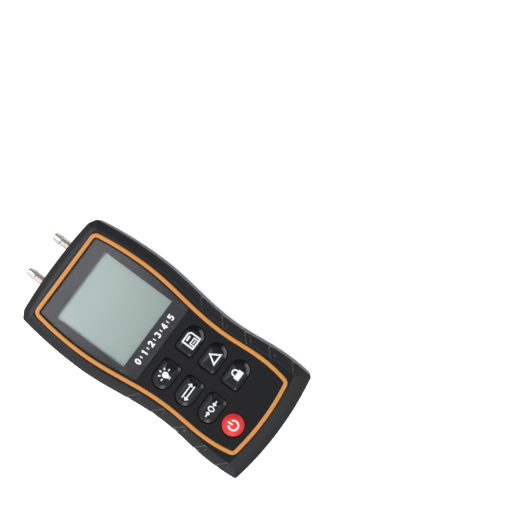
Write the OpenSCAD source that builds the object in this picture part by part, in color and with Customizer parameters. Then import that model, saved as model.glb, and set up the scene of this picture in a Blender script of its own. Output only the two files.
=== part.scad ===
/* [Case outline] */
// Length of the case along Y, without the ports
body_len = 159; // [152:1:172]
// Half width at the top end, at the widest bulge, at the waist, at the hip and at the bottom end
top_half = 34.7; // [34.2:0.1:35.8]
bulge_half = 39; // [38.3:0.1:41]
waist_half = 34.4; // [33.8:0.1:36]
hip_half = 37.3; // [36.8:0.1:39]
bottom_half = 36; // [35.5:0.1:37]
// Distance of the bulge, the waist and the hip from the top end
bulge_from_top = 46; // [42:1:50]
waist_from_top = 101; // [97:1:105]
hip_from_top = 140; // [134:1:144]
// Crown of the bottom edge and of the top edge
bottom_crown = 3.5; // [2.5:0.1:4.5]
top_crown = 1.5; // [0.8:0.1:2]
// Bevel that cuts each top corner: its run along X and its drop along Y
bevel_run = 4.8; // [4.4:0.1:5.2]
bevel_drop = 2.9; // [2.4:0.1:3.4]
// Rounding of the top corners, of the bevel's inner end and of the bottom corners
top_corner_r = 2.2; // [1:0.1:2.6]
bevel_r = 6; // [3:0.5:8]
bottom_corner_r = 2.2; // [1.5:0.1:4]

/* [Case section] */
// Height of the flat front face over the back face
face_z = 36; // [35.5:0.1:38]
// Height of the parting line
parting_z = 16; // [15.5:0.1:16.5]
// Thickness of the case's walls and floor
wall = 2.4; // [2.1:0.1:2.6]
// Thickness of the front face
face_wall = 3; // [2.8:0.1:3.1]
// Draft of the side wall from the parting line to the chamfer
wall_draft = 0.6; // [0.2:0.1:0.9]
// Chamfer round the front: its run inward and its drop
chamfer_run = 2.5; // [2:0.1:2.8]
chamfer_drop = 1.9; // [1.5:0.1:2.4]
// Sloping band inside the chamfer: its run inward and its drop
band_run = 3.1; // [2.5:0.1:3.1]
band_drop = 0.8; // [0.4:0.1:1]
// Rounding round the back face
back_r = 4; // [3:0.1:4.5]
// Depth of the bevel of each half at the parting line
seam_bevel = 0.35; // [0.2:0.05:0.5]

/* [Grip grooves] */
// Grooves on each long edge
groove_count = 5; // [3:1:5]
// Distance of the first groove's mouth from the top end, and the pitch
groove_from_top = 79.5; // [78:0.5:81.5]
groove_pitch = 15.8; // [14:0.1:16]
// Radius of the round groove, its depth, its reach inward from the edge and its slant
groove_r = 1.8; // [1.5:0.1:2]
groove_depth = 0.7; // [0.5:0.1:1.1]
groove_reach = 6; // [5:0.1:6.5]
groove_slant = 37; // [25:1:45]
// Height of the groove's lower end on the side wall
groove_low_z = 23; // [21:0.5:26]

/* [Trim ring] */
// Outer half widths of the ring: top, bulge, waist, hip and bottom
ring_top_half = 28.8; // [28.2:0.1:29.4]
ring_bulge_half = 31.95; // [31.2:0.05:32.2]
ring_waist_half = 27.25; // [27:0.05:27.4]
ring_hip_half = 28.7; // [28.2:0.1:30]
ring_bottom_half = 25.6; // [25:0.1:26.5]
// Margin of the ring from the case's top end and bottom end
ring_top_margin = 7.3; // [7.1:0.1:7.7]
ring_bottom_margin = 10; // [9.6:0.1:10.6]
// Distance of the ring's bulge, waist and hip from the case's top end
ring_bulge_from_top = 42; // [38:1:46]
ring_waist_from_top = 98; // [94:1:101]
ring_hip_from_top = 126; // [121:1:130]
// Crown of the ring's bottom edge
ring_crown = 2.3; // [1.5:0.1:3]
// Width of the ring, its corner radius, its depth in the face and how far it stands proud
ring_w = 2.4; // [2:0.1:2.6]
ring_corner_r = 4.2; // [3.5:0.1:5]
ring_depth = 1.3; // [1:0.1:1.5]
ring_proud = 0.25; // [0.1:0.05:0.4]

/* [Window] */
// Distance of the window's lower edge from the top end
window_edge_from_top = 77.2; // [76.5:0.1:78]
// Thickness of the lens and of the mask behind it
lens_t = 1.5; // [1.2:0.1:1.6]
mask_t = 0.25; // [0.15:0.05:0.3]
// Rib of the case between the lens and the ring
lens_rib = 0.5; // [0.4:0.05:0.7]
// Clear view in the mask: width, height, and the distance of its centre from the top end
view_w = 46.4; // [44:0.1:47]
view_h = 47.2; // [45:0.1:48]
view_from_top = 42.8; // [42.5:0.1:43.3]
// Border of the case's opening round the view
view_margin = 1; // [0.6:0.1:1.2]

/* [Display] */
// Display glass: width, height and thickness
glass_w = 50; // [49.4:0.1:50.4]
glass_h = 52; // [51.4:0.1:52.4]
glass_t = 2.2; // [1.8:0.1:2.3]
// Width of the display frame's rim
frame_rim = 1.9; // [1.5:0.1:2.1]
// Thickness of the backlight panel
backlight_t = 2.8; // [2:0.1:3]
// Width of each contact strip
strip_w = 2; // [1.5:0.1:2.4]
// Height of the display frame's lip over the glass
lip_t = 0.35; // [0.2:0.05:0.4]
// Width of the display frame's lip over the glass
lip_w = 0.6; // [0.4:0.1:0.9]

/* [Keys] */
// Key cap: length across, height along the case, and corner radius
key_w = 16.9; // [15.5:0.1:17.2]
key_h = 11.5; // [10.5:0.1:12]
key_corner_r = 2.2; // [1.5:0.1:3]
// Distance of each key column from the middle
key_column_x = 12.2; // [11.9:0.1:12.4]
// Distance of the first row from the top end, and the pitch of the rows
key_row_from_top = 88.3; // [87.8:0.1:88.6]
key_pitch = 16.05; // [15.6:0.05:16.3]
// Diameter of the power key, and its distance from the last row
power_d = 13; // [12:0.1:13.4]
power_drop = 15.4; // [15.2:0.1:15.9]
// Rise of the keys over the face, and the crown of their tops
key_rise = 1.4; // [1.1:0.1:1.8]
key_crown = 0.9; // [0.5:0.1:1.1]
// Travel of a key
key_travel = 1.2; // [0.8:0.1:1.2]
// Gap round a key in the case
key_gap = 0.35; // [0.25:0.05:0.45]
// Flange that holds a key behind the face: width beyond the cap and thickness
flange_w = 1.2; // [0.9:0.1:1.3]
flange_t = 1; // [0.8:0.1:1.1]
// How far the key's stem stands back from the cap's edge
stem_inset = 2.6; // [2.4:0.1:3]
// Dish in the face round each key: width and depth
dish_w = 1; // [0.5:0.1:1.2]
dish_depth = 0.4; // [0.2:0.1:0.6]
// Conductive pill under each key: diameter and thickness
pill_d = 5; // [4:0.1:5.2]
pill_t = 0.6; // [0.4:0.1:0.7]
// Thickness of the keypad mat, and the wall of the collar round each stem
mat_t = 1.2; // [0.8:0.1:1.3]
collar_w = 1.1; // [0.8:0.1:1.2]

/* [Boards] */
// Height of the main board's front side, and its thickness
board_z = 26.6; // [26.4:0.1:26.8]
board_t = 1.6; // [1.2:0.1:1.8]
// Half width of the main board, its margin from the case's ends, and the step at the screw bosses
board_half = 28; // [27.8:0.1:28.4]
board_margin = 9; // [8.5:0.1:9.5]
board_end_half = 24.5; // [24.2:0.1:24.8]
board_end_len = 9; // [8:0.1:10]
// Board posts: distance from the middle, diameter, and distances from the top end
post_x = 20; // [19.8:0.1:20.2]
post_d = 4.4; // [4:0.1:4.6]
post_top_from_top = 12.2; // [12:0.1:12.3]
post_middle_from_top = 75; // [74.8:0.1:75.2]
post_bottom_from_top = 146.5; // [146:0.1:147]
// Board screw: thread diameter, head diameter, head height and length
board_screw_d = 2; // [1.8:0.1:2.2]
board_head_d = 3.8; // [3.4:0.1:4]
board_head_t = 1.4; // [1.1:0.1:1.6]
board_screw_len = 6; // [5:0.5:7]

/* [Case screws] */
// Case screws: distance from the middle and from each end
case_screw_x = 29.2; // [29:0.1:29.4]
case_screw_margin = 10; // [9.5:0.1:10.5]
// Boss diameter, thread diameter, head diameter, head height and screw length
boss_d = 7; // [6.6:0.1:7.2]
case_screw_d = 3; // [2.8:0.1:3.1]
case_head_d = 5.6; // [5.4:0.1:5.7]
case_head_t = 2; // [1.8:0.1:2.4]
case_screw_len = 18; // [16:0.5:20]
// Depth of the counterbore for a case screw in the back
counterbore_depth = 6; // [5:0.5:8]

/* [Ports] */
// Distance between the ports
port_spacing = 25; // [23:0.5:26]
// Reach of a port past the middle of the case's top edge
port_reach = 11.2; // [9:0.1:12]
// Length of the hose cone in front of the crest
cone_len = 4.3; // [3.8:0.1:4.8]
// Length of the cylindrical land at the crest
land_len = 1; // [0.8:0.1:1.4]
// Diameters at the crest, at the tip, at the neck and of the bore
crest_d = 5.7; // [5.4:0.1:6]
tip_d = 4.2; // [3.8:0.1:4.4]
neck_d = 5; // [4.6:0.1:5.2]
bore_d = 2.2; // [1.8:0.1:2.4]
// Flange that the case halves hold: diameter and thickness
port_flange_d = 9; // [8.5:0.1:9.5]
port_flange_t = 2; // [1.6:0.1:2.4]
// Thickness of the cradle rib behind the flange
cradle_t = 2; // [1.6:0.1:2.4]
// Inner spigot for the tube: diameter and length past the rib
spigot_d = 4; // [3.6:0.1:4.2]
spigot_len = 7; // [6:0.5:8]
// Section of the seal ring in front of the flange
seal_t = 1; // [0.8:0.1:1.2]

/* [Sensor] */
// Sensor package: width, length and depth
sensor_w = 18; // [16:0.5:20]
sensor_len = 14; // [12:0.5:16]
sensor_depth = 8; // [7:0.1:8.5]
// Distance of the sensor's middle from the top end
sensor_from_top = 50; // [49:0.5:50]
// Distance between the sensor's nozzles, their diameter and length
nozzle_spacing = 8; // [7.5:0.5:9]
nozzle_d = 3; // [2.6:0.1:3.2]
nozzle_len = 7; // [6:0.5:8]
// Pins of the sensor: diameter, and count in a row
pin_d = 0.8; // [0.6:0.1:1]
pin_count = 4; // [2:1:5]
// Silicone tube: outer diameter and bend radius
tube_d = 6; // [5.4:0.1:6.4]
tube_bend_r = 12; // [10:0.5:13]

/* [Battery bay] */
// Cell: diameter and length with its nub
cell_d = 10.5; // [10.3:0.1:10.6]
cell_len = 44.5; // [44:0.1:45]
// Nub of a cell: diameter and length
nub_d = 3.8; // [3.4:0.1:4.2]
nub_len = 1; // [0.8:0.1:1.2]
// Cells in the bay
cell_count = 3; // [2:1:3]
// Gap between the cells, and between a cell and the bay
cell_gap = 0.5; // [0.3:0.1:0.7]
// Room at each end of a cell for its contact
contact_room = 3.5; // [3:0.1:4]
// Distance of the bay's upper end from the case's top end
bay_from_top = 102; // [101:0.5:102]
// Thickness of the bay's walls
bay_wall = 1.5; // [1.2:0.1:1.8]
// Thickness of the contact plates
plate_t = 0.5; // [0.4:0.1:0.6]

/* [Battery door] */
// Width of the door between its tongues
door_w = 39; // [37:0.5:40]
// Thickness of the door, and how far it lies back from the back face
door_t = 1.9; // [1.6:0.1:2]
door_recess = 0.3; // [0.2:0.1:0.4]
// Width and thickness of the door's side tongues
tongue_w = 1.4; // [1:0.1:1.6]
tongue_t = 0.8; // [0.6:0.1:0.9]
// Upper edge of the door past the bay's upper end
door_lap = 2; // [1.5:0.1:3]
// Grip grooves on the door: count, width, depth and the distance of the first from the door's edge
ridge_count = 5; // [3:1:7]
ridge_w = 1; // [0.8:0.1:1.2]
ridge_h = 0.25; // [0.1:0.05:0.25]
ridge_margin = 6; // [4:0.5:8]

/* [Label] */
// Blank label on the back: width, height, thickness and the distance of its middle from the top end
label_w = 44; // [40:1:48]
label_h = 24; // [20:1:28]
label_t = 0.2; // [0.1:0.05:0.3]
label_from_top = 52; // [50:1:56]

/* [Hidden] */
// Smoothness of round shapes, and steps of the drawn curves
$fn = 64;
end_steps = 4;
side_steps = 8;
corner_steps = 5;
back_steps = 4;
// Overrun of cuts, gap of a sliding fit, gap round a part that is laid in, and least radius
over = 0.5;
slide_gap = 0.1;
seat_gap = 0.1;
least_r = 0.2;
// Gap between a soft or moving piece and its neighbour
soft_gap = 0.3;
// Grid for the place of the ports' flanges, which the tubes follow
place_grid = 0.1;

// Ends of the case, with the origin under the middle of the whole length
bottom_y = -(body_len + port_reach) / 2;
top_y = bottom_y + body_len;
face_inner_z = face_z - face_wall;

// Half widths and stations of the case's outline, from the top end to the bottom end
body_halves = [top_half, bulge_half, waist_half, hip_half, bottom_half];
body_stations = [top_y, top_y - bulge_from_top, top_y - waist_from_top, top_y - hip_from_top, bottom_y];
// Half widths and stations of the ring's outline
ring_top_y = top_y - ring_top_margin;
ring_bottom_y = bottom_y + ring_bottom_margin;
ring_halves = [ring_top_half, ring_bulge_half, ring_waist_half, ring_hip_half, ring_bottom_half];
ring_stations = [ring_top_y, top_y - ring_bulge_from_top, top_y - ring_waist_from_top,
                 top_y - ring_hip_from_top, ring_bottom_y];

// Half width at a height y: a parabola at each end and a cosine blend between the stations
function blend(a, b, share) = a + (b - a) * (1 - cos(180 * share)) / 2;
function half_at(h, s, y) =
    y > s[1] ? h[1] - (h[1] - h[0]) * pow((y - s[1]) / (s[0] - s[1]), 2)
    : y > s[2] ? blend(h[1], h[2], (s[1] - y) / (s[1] - s[2]))
    : y > s[3] ? blend(h[2], h[3], (s[2] - y) / (s[2] - s[3]))
    : h[3] - (h[3] - h[4]) * pow((s[3] - y) / (s[3] - s[4]), 2);

// Heights of the points along one side, between the two corners
function side_heights(s, low, high) = concat(
    [for (k = [1 : end_steps - 1]) low + (s[3] - low) * k / end_steps],
    [for (k = [0 : side_steps - 1]) s[3] + (s[2] - s[3]) * k / side_steps],
    [for (k = [0 : side_steps - 1]) s[2] + (s[1] - s[2]) * k / side_steps],
    [for (k = [0 : end_steps - 1]) s[1] + (high - s[1]) * k / end_steps]);

// Corner points of the right half, each with its rounding: bottom middle, edge, side, top edge
body_corner_y = bottom_y + bottom_crown;
body_bevel_x = half_at(body_halves, body_stations, top_y - top_crown - bevel_drop) - bevel_run;
body_right = concat(
    [for (k = [0 : end_steps - 1]) let (share = k / end_steps)
        [bottom_half * share, bottom_y + bottom_crown * share * share, 0]],
    [[half_at(body_halves, body_stations, body_corner_y), body_corner_y, bottom_corner_r]],
    [for (y = side_heights(body_stations, body_corner_y, top_y - top_crown - bevel_drop))
        [half_at(body_halves, body_stations, y), y, 0]],
    [[body_bevel_x + bevel_run, top_y - top_crown - bevel_drop, top_corner_r]],
    [[body_bevel_x, top_y - top_crown, bevel_r]],
    [for (k = [1 : end_steps]) let (share = 1 - k / end_steps)
        [body_bevel_x * share, top_y - top_crown * share * share, 0]]);

ring_corner_y = ring_bottom_y + ring_crown;
ring_right = concat(
    [for (k = [0 : end_steps - 1]) let (share = k / end_steps)
        [ring_bottom_half * share, ring_bottom_y + ring_crown * share * share, 0]],
    [[half_at(ring_halves, ring_stations, ring_corner_y), ring_corner_y, ring_corner_r]],
    [for (y = side_heights(ring_stations, ring_corner_y, ring_top_y))
        [half_at(ring_halves, ring_stations, y), y, 0]],
    [[ring_top_half, ring_top_y, ring_corner_r]],
    [[0, ring_top_y, 0]]);

// Whole outline from its right half: the left half is the same points back down
function both_sides(right) = concat(right,
    [for (i = [len(right) - 2 : -1 : 1]) [-right[i][0], right[i][1], right[i][2]]]);
function flat(p) = [p[0], p[1]];
function unit(v) = v / norm(v);
function side_normal(a, b) = let (d = unit(b - a)) [d[1], -d[0]];
// Outline moved inward by d at every point, with its corner radii drawn in too
function inset_outline(pts, d) = let (n = len(pts)) [for (i = [0 : n - 1])
    let (p = flat(pts[i]), a = side_normal(flat(pts[(i + n - 1) % n]), p),
         b = side_normal(p, flat(pts[(i + 1) % n])), q = p - d * (a + b) / (1 + a * b))
    [q[0], q[1], pts[i][2] == 0 ? 0 : max(pts[i][2] - d, least_r)]];
// Points of the arc that rounds the corner p between its neighbours a and b
function corner_arc(a, p, b, r) =
    let (u = unit(a - p), v = unit(b - p), opening = acos(u * v),
         middle = p + unit(u + v) * r / sin(opening / 2), first = p + u * r / tan(opening / 2) - middle,
         start = atan2(first[1], first[0]), sweep = 180 - opening)
    [for (k = [0 : corner_steps]) let (turn = start + sweep * k / corner_steps)
        middle + r * [cos(turn), sin(turn)]];
function rounded(pts) = let (n = len(pts)) [for (i = [0 : n - 1])
    each pts[i][2] == 0 ? [flat(pts[i])]
        : corner_arc(flat(pts[(i + n - 1) % n]), flat(pts[i]), flat(pts[(i + 1) % n]), pts[i][2])];

body_outline = both_sides(body_right);
ring_outline = both_sides(ring_right);
module body_area(inset) { polygon(rounded(inset_outline(body_outline, inset))); }
module ring_area(inset) { polygon(rounded(inset_outline(ring_outline, inset))); }

// Solid through a list of levels, each a height and an inset, closed by a ladder of faces at both ends
module lofted(levels) {
    rings = [for (l = levels) rounded(inset_outline(body_outline, l[1]))];
    n = len(rings[0]);
    top = (len(levels) - 1) * n;
    points = [for (k = [0 : len(levels) - 1]) each [for (p = rings[k]) [p[0], p[1], levels[k][0]]]];
    sides = [for (k = [0 : len(levels) - 2]) each [for (i = [0 : n - 1])
        let (a = k * n + i, b = k * n + (i + 1) % n) each [[a, a + n, b + n], [a, b + n, b]]]];
    ladder = [for (j = [0 : n / 2 - 1]) j == 0 ? [0, 1, n - 1]
        : j == n / 2 - 1 ? [j, j + 1, n - j] : [j, j + 1, n - j - 1, n - j]];
    polyhedron(points, concat(sides, ladder,
        [for (f = ladder) [for (i = [len(f) - 1 : -1 : 0]) f[i] + top]]));
}

// Window, view and keys
window_edge_y = top_y - window_edge_from_top;
view_y = top_y - view_from_top;
lens_inset = ring_w + slide_gap + lens_rib;
lens_seat_z = face_z - lens_t - mask_t - seat_gap / 2;
key_rows = [for (k = [0 : 2]) top_y - key_row_from_top - k * key_pitch];
power_y = key_rows[2] - power_drop;
key_places = concat([for (y = key_rows) each [[-key_column_x, y], [key_column_x, y]]]);

// Heights of a key, from the flange down to the pill
flange_z = face_inner_z - slide_gap / 2;
board_back_z = board_z - board_t;
pill_z = board_z + key_travel + soft_gap / 2;
collar_top_z = flange_z - flange_t - key_travel - soft_gap;

// Display stack: the frame stands on the board and fills the room under the face
glass_z = face_inner_z - slide_gap - lip_t - glass_t - slide_gap / 2;
frame_w = glass_w + 2 * (seat_gap + frame_rim);
frame_h = glass_h + 2 * (seat_gap + frame_rim);

// Battery bay
bay_w = cell_count * cell_d + (cell_count + 1) * cell_gap;
bay_len = cell_len + 2 * contact_room;
bay_top_y = top_y - bay_from_top;
bay_mid_y = bay_top_y - bay_len / 2;
door_low_z = door_recess;
door_high_z = door_recess + door_t;
bay_floor_z = door_high_z + slide_gap;
cell_z = bay_floor_z + cell_gap + cell_d / 2;
bay_ceiling_z = cell_z + cell_d / 2 + cell_gap;
door_top_y = bay_top_y + door_lap;
tongue_z = door_recess + (door_t - tongue_t) / 2 + slide_gap;

// Ports, along Y at the parting line
port_z = parting_z;
port_tip_y = top_y + port_reach;
wall_inner_y = top_y - wall;
end_sag = top_crown * pow((port_spacing + port_flange_d) / 2 / body_bevel_x, 2);
end_wall_y = floor((wall_inner_y - slide_gap - end_sag) / place_grid) * place_grid;
flange_y = end_wall_y - seal_t;
rib_y = flange_y - port_flange_t - slide_gap;
spigot_end_y = rib_y - cradle_t - spigot_len;

// Sensor, hanging from the board
sensor_y = top_y - sensor_from_top;
nozzle_y = sensor_y + sensor_len / 2;
tube_shift = port_spacing / 2 - nozzle_spacing / 2;
tube_turn = acos(1 - tube_shift / 2 / tube_bend_r);
tube_bend_len = 2 * tube_bend_r * sin(tube_turn);
tube_top_y = rib_y - cradle_t - slide_gap;
bend_top_y = spigot_end_y;
bend_low_y = bend_top_y - tube_bend_len;

// Four case screws and six board posts
screw_places = [for (x = [-1, 1], y = [bottom_y + case_screw_margin, top_y - case_screw_margin])
    [x * case_screw_x, y]];
post_places = [for (x = [-1, 1], d = [post_top_from_top, post_middle_from_top, post_bottom_from_top])
    [x * post_x, top_y - d]];

case_color = "#3a393c";
inner_color = "#2b2b2d";
orange = "#dc9a5a";
rubber_color = "#2c2b30";
red = "#dc4a50";
nickel = "#b9b5ae";
board_color = "#1f6b45";

// Box from its middle in X and Y and its low and high Z
module block(x, y, low, high, w, h) {
    translate([x - w / 2, y - h / 2, low]) cube([w, h, high - low]);
}
// Upright cylinder between two heights
module post(x, y, low, high, d) { translate([x, y, low]) cylinder(h = high - low, d = d); }
// Cylinder along Y between two places
module rod(x, z, low, high, d) {
    translate([x, high, z]) rotate([90, 0, 0]) cylinder(h = high - low, d = d);
}

// Key outline: one end round, the other squared with small corners, grown by a margin
module key_area(grow) {
    half_h = key_h / 2 + grow;
    corner = max(key_corner_r + grow, least_r);
    round_x = key_h / 2 - key_w / 2;
    end_x = key_w / 2 + grow;
    translate([round_x, 0]) circle(half_h);
    translate([round_x, -half_h]) square([end_x - corner - round_x, 2 * half_h]);
    translate([round_x, corner - half_h]) square([end_x - round_x, 2 * (half_h - corner)]);
    for (side = [-1, 1]) translate([end_x - corner, side * (half_h - corner)]) circle(corner);
}
// The right column's keys are the left column's, mirrored
module key_prism(place, grow, low, high) {
    translate([place[0], place[1], low]) mirror([place[0] > 0 ? 1 : 0, 0, 0])
        linear_extrude(high - low) key_area(grow);
}
module power_prism(grow, low, high) { post(-key_column_x, power_y, low, high, power_d + 2 * grow); }

// Groove tool: a round bar along the band and one down the side wall, each with a ball end
module groove_tool(y) {
    x = half_at(body_halves, body_stations, y);
    lift = groove_r - groove_depth;
    band_z = face_z + lift;
    slope = atan(band_drop / band_run);
    translate([x + lift - wall_draft, y, 0]) {
        rotate([0, 0, groove_slant]) translate([-groove_reach, 0, band_z])
            rotate([0, 90 + slope, 0]) {
                sphere(groove_r);
                cylinder(h = groove_reach + 2 * groove_r, r = groove_r);
            }
        translate([0, 0, groove_low_z]) {
            sphere(groove_r);
            cylinder(h = face_z - groove_low_z, r = groove_r);
        }
    }
}

// Notch for both ports, through the end wall at the parting line
module port_notches(d) {
    for (x = [-1, 1]) rod(x * port_spacing / 2, port_z, end_wall_y - over, port_tip_y, d);
}

module front_case() {
    color(case_color) difference() {
        union() {
            difference() {
                lofted([[parting_z, seam_bevel], [parting_z + seam_bevel, 0],
                    [face_z - band_drop - chamfer_drop, wall_draft],
                    [face_z - band_drop, wall_draft + chamfer_run],
                    [face_z, wall_draft + chamfer_run + band_run]]);
                translate([0, 0, parting_z - over]) linear_extrude(face_inner_z - parting_z + over)
                    body_area(wall);
            }
            for (p = screw_places) post(p[0], p[1], parting_z, face_inner_z + over, boss_d);
            for (p = post_places) post(p[0], p[1], board_z, face_inner_z + over, post_d);
        }
        // Groove for the ring
        translate([0, 0, face_z - ring_depth]) linear_extrude(ring_depth + over) difference() {
            ring_area(-slide_gap);
            ring_area(ring_w + slide_gap);
        }
        // Seat for the lens, and the opening over the display
        translate([0, 0, lens_seat_z]) linear_extrude(face_z) intersection() {
            ring_area(lens_inset);
            translate([-body_len, window_edge_y]) square([2 * body_len, body_len]);
        }
        block(0, view_y, face_inner_z - over, face_z, view_w + 2 * view_margin, view_h + 2 * view_margin);
        // Openings for the keys, each in a shallow dish
        for (p = key_places) {
            key_prism(p, key_gap, face_inner_z - over, face_z + over);
            key_prism(p, dish_w, face_z - dish_depth, face_z + over);
        }
        power_prism(key_gap, face_inner_z - over, face_z + over);
        power_prism(dish_w, face_z - dish_depth, face_z + over);
        // Screw holes
        for (p = screw_places) post(p[0], p[1], parting_z - over, face_inner_z, case_screw_d + slide_gap);
        for (p = post_places) post(p[0], p[1], board_z - over, face_inner_z, board_screw_d + slide_gap);
        port_notches(neck_d + 2 * slide_gap);
        for (side = [0, 1], k = [0 : groove_count - 1]) mirror([side, 0, 0])
            groove_tool(top_y - groove_from_top - k * groove_pitch);
    }
}

// Levels of the rounding round the back face
back_levels = [for (k = [0 : back_steps]) let (turn = 90 * k / back_steps)
    [back_r * (1 - cos(turn)), back_r * (1 - sin(turn))]];
module rear_case() {
    rail_w = tongue_w + slide_gap + bay_wall;
    bay_out_w = bay_w + 2 * bay_wall;
    color(case_color) difference() {
        union() {
            difference() {
                lofted(concat(back_levels, [[parting_z - seam_bevel, 0], [parting_z, seam_bevel]]));
                translate([0, 0, wall]) linear_extrude(parting_z) body_area(wall);
            }
            for (p = screw_places) post(p[0], p[1], wall - over, parting_z, boss_d);
            // Bay walls and the rails beside the door
            block(0, bay_mid_y, wall - over, bay_ceiling_z + bay_wall, bay_out_w, bay_len + 2 * bay_wall);
            block(0, (bottom_y + wall + door_top_y + bay_wall) / 2, wall - over, wall + bay_wall,
                door_w + 2 * rail_w, door_top_y + bay_wall - bottom_y - wall);
            // Cradle rib that holds the ports' flanges
            for (x = [-1, 1]) block(x * port_spacing / 2, rib_y - cradle_t / 2, wall - over, port_z,
                port_flange_d, cradle_t);
        }
        // Room for the door, its tongues and the bay
        block(0, (bottom_y + door_top_y) / 2 - over, -over, bay_floor_z,
            door_w + 2 * slide_gap, door_top_y - bottom_y + 2 * over + 2 * slide_gap);
        block(0, (bottom_y + door_top_y) / 2 - over, tongue_z - slide_gap, tongue_z + tongue_t + slide_gap,
            door_w + 2 * (tongue_w + slide_gap), door_top_y - bottom_y + 2 * over + 2 * slide_gap);
        block(0, bay_mid_y, -over, bay_ceiling_z, bay_w, bay_len);
        // Screw holes with their counterbores
        for (p = screw_places) {
            post(p[0], p[1], -over, parting_z + over, case_screw_d + 4 * slide_gap);
            post(p[0], p[1], -over, counterbore_depth, case_head_d + 4 * slide_gap);
        }
        port_notches(neck_d + 2 * slide_gap);
        for (x = [-1, 1]) rod(x * port_spacing / 2, port_z, rib_y - cradle_t - over, rib_y + over,
            neck_d + 2 * slide_gap);
        // Slots for the leads, in the bay's upper wall
        for (x = [-1, 1]) rod(x * lead_x, lead_z, bay_top_y - over, bay_top_y + bay_wall + over,
            lead_d + 4 * slide_gap);
        // Recess for the label
        block(0, top_y - label_from_top, -over, label_t + slide_gap, label_w + 2 * slide_gap,
            label_h + 2 * slide_gap);
    }
}

module trim_ring() {
    color(orange) translate([0, 0, face_z - ring_depth]) linear_extrude(ring_depth + ring_proud)
        difference() { ring_area(0); ring_area(ring_w); }
}

// Area inside the seat for the lens and the mask
module lens_area() {
    intersection() {
        ring_area(lens_inset + slide_gap);
        translate([-body_len, window_edge_y + slide_gap]) square([2 * body_len, body_len]);
    }
}
module window_lens() {
    color("#5b6068", 0.4) translate([0, 0, lens_seat_z + mask_t]) linear_extrude(lens_t) lens_area();
}
module window_mask() {
    color("#55565e") translate([0, 0, lens_seat_z]) linear_extrude(mask_t) difference() {
        lens_area();
        translate([-view_w / 2, view_y - view_h / 2]) square([view_w, view_h]);
    }
}

module lcd_glass() {
    color("#a9b9b4") block(0, view_y, glass_z, glass_z + glass_t, glass_w, glass_h);
}
module lcd_frame() {
    color(inner_color) difference() {
        block(0, view_y, board_z, face_inner_z - slide_gap, frame_w, frame_h);
        block(0, view_y, board_z - over, glass_z + glass_t + slide_gap / 2,
            glass_w + 2 * seat_gap, glass_h + 2 * seat_gap);
        block(0, view_y, board_z, face_z, glass_w - 2 * lip_w, glass_h - 2 * lip_w);
    }
}
module backlight_panel() {
    color("white") block(0, view_y, glass_z - slide_gap / 2 - backlight_t, glass_z - slide_gap / 2,
        glass_w - 2 * seat_gap, glass_h - 2 * strip_w - 4 * slide_gap);
}
module contact_strips() {
    color("#c98a86") for (side = [-1, 1]) block(0, view_y + side * (glass_h / 2 - strip_w / 2),
        board_z, glass_z, glass_w - 4 * seat_gap, strip_w);
}

module main_board() {
    board_top = top_y - board_margin;
    board_low = bottom_y + board_margin;
    color(board_color) difference() {
        union() {
            block(0, (board_top + board_low) / 2, board_back_z, board_z, 2 * board_end_half,
                board_top - board_low);
            block(0, (board_top + board_low) / 2, board_back_z, board_z, 2 * board_half,
                board_top - board_low - 2 * board_end_len);
        }
        for (p = post_places) post(p[0], p[1], board_back_z - over, board_z + over,
            board_screw_d + 4 * slide_gap);
    }
}

// Packages on the back of the board: thickness, width and length of each
chip_t = 1.4;
chip_w = 10;
small_chip_w = 5;
small_chip_len = 4;
crystal_w = 3.2;
crystal_len = 8;
crystal_t = 2.5;
capacitor_d = 5;
capacitor_len = 6;
buzzer_d = 12;
buzzer_t = 5;
buzzer_hole_d = 2;
// Their places: distances from the middle, from the top end, and of the last ones below the chips
chip_x = 8;
memory_x = 17;
crystal_x = 4;
capacitor_x = 17;
chip_from_top = 70;
capacitor_drop = 16;
capacitor_pitch = 8;
buzzer_drop = 22;
module board_package(x, from_top, w, h, t) {
    block(x, top_y - from_top, board_back_z - t, board_back_z, w, h);
}
module processor() { color("#1c1c1e") board_package(-chip_x, chip_from_top, chip_w, chip_w, chip_t); }
module memory_chip() {
    color("#1c1c1e") board_package(memory_x, chip_from_top, small_chip_w, small_chip_len, chip_t);
}
module amplifier_chip() {
    color("#1c1c1e") board_package(-memory_x - chip_w / 2, chip_from_top - chip_w, small_chip_w,
        small_chip_len, chip_t);
}
module quartz_crystal() {
    color("silver") board_package(crystal_x, chip_from_top, crystal_w, crystal_len, crystal_t);
}
module capacitors() {
    first_y = top_y - chip_from_top - capacitor_drop;
    color("#30343c") for (k = [0, 1]) post(capacitor_x, first_y - k * capacitor_pitch,
        board_back_z - capacitor_len, board_back_z, capacitor_d);
}
module buzzer() {
    y = top_y - chip_from_top - buzzer_drop;
    color("#1a1a1a") difference() {
        post(0, y, board_back_z - buzzer_t, board_back_z, buzzer_d);
        post(0, y, board_back_z - buzzer_t - over,
            board_back_z - buzzer_t / 2, buzzer_hole_d);
    }
}

// Mat on the board, with a collar round each stem
mat_margin = flange_w + soft_gap;
module keypad_mat() {
    mat_top = key_rows[0] + key_h / 2 + mat_margin;
    mat_low = power_y - power_d / 2 - mat_margin;
    collar = collar_w + soft_gap - stem_inset;
    color(rubber_color) difference() {
        union() {
            block(0, (mat_top + mat_low) / 2, board_z, board_z + mat_t,
                2 * (key_column_x + key_w / 2 + mat_margin), mat_top - mat_low);
            for (p = key_places) key_prism(p, collar, board_z, collar_top_z);
            power_prism(collar, board_z, collar_top_z);
        }
        for (p = key_places) key_prism(p, soft_gap - stem_inset, board_z - over, face_z);
        power_prism(soft_gap - stem_inset, board_z - over, face_z);
    }
}

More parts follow.
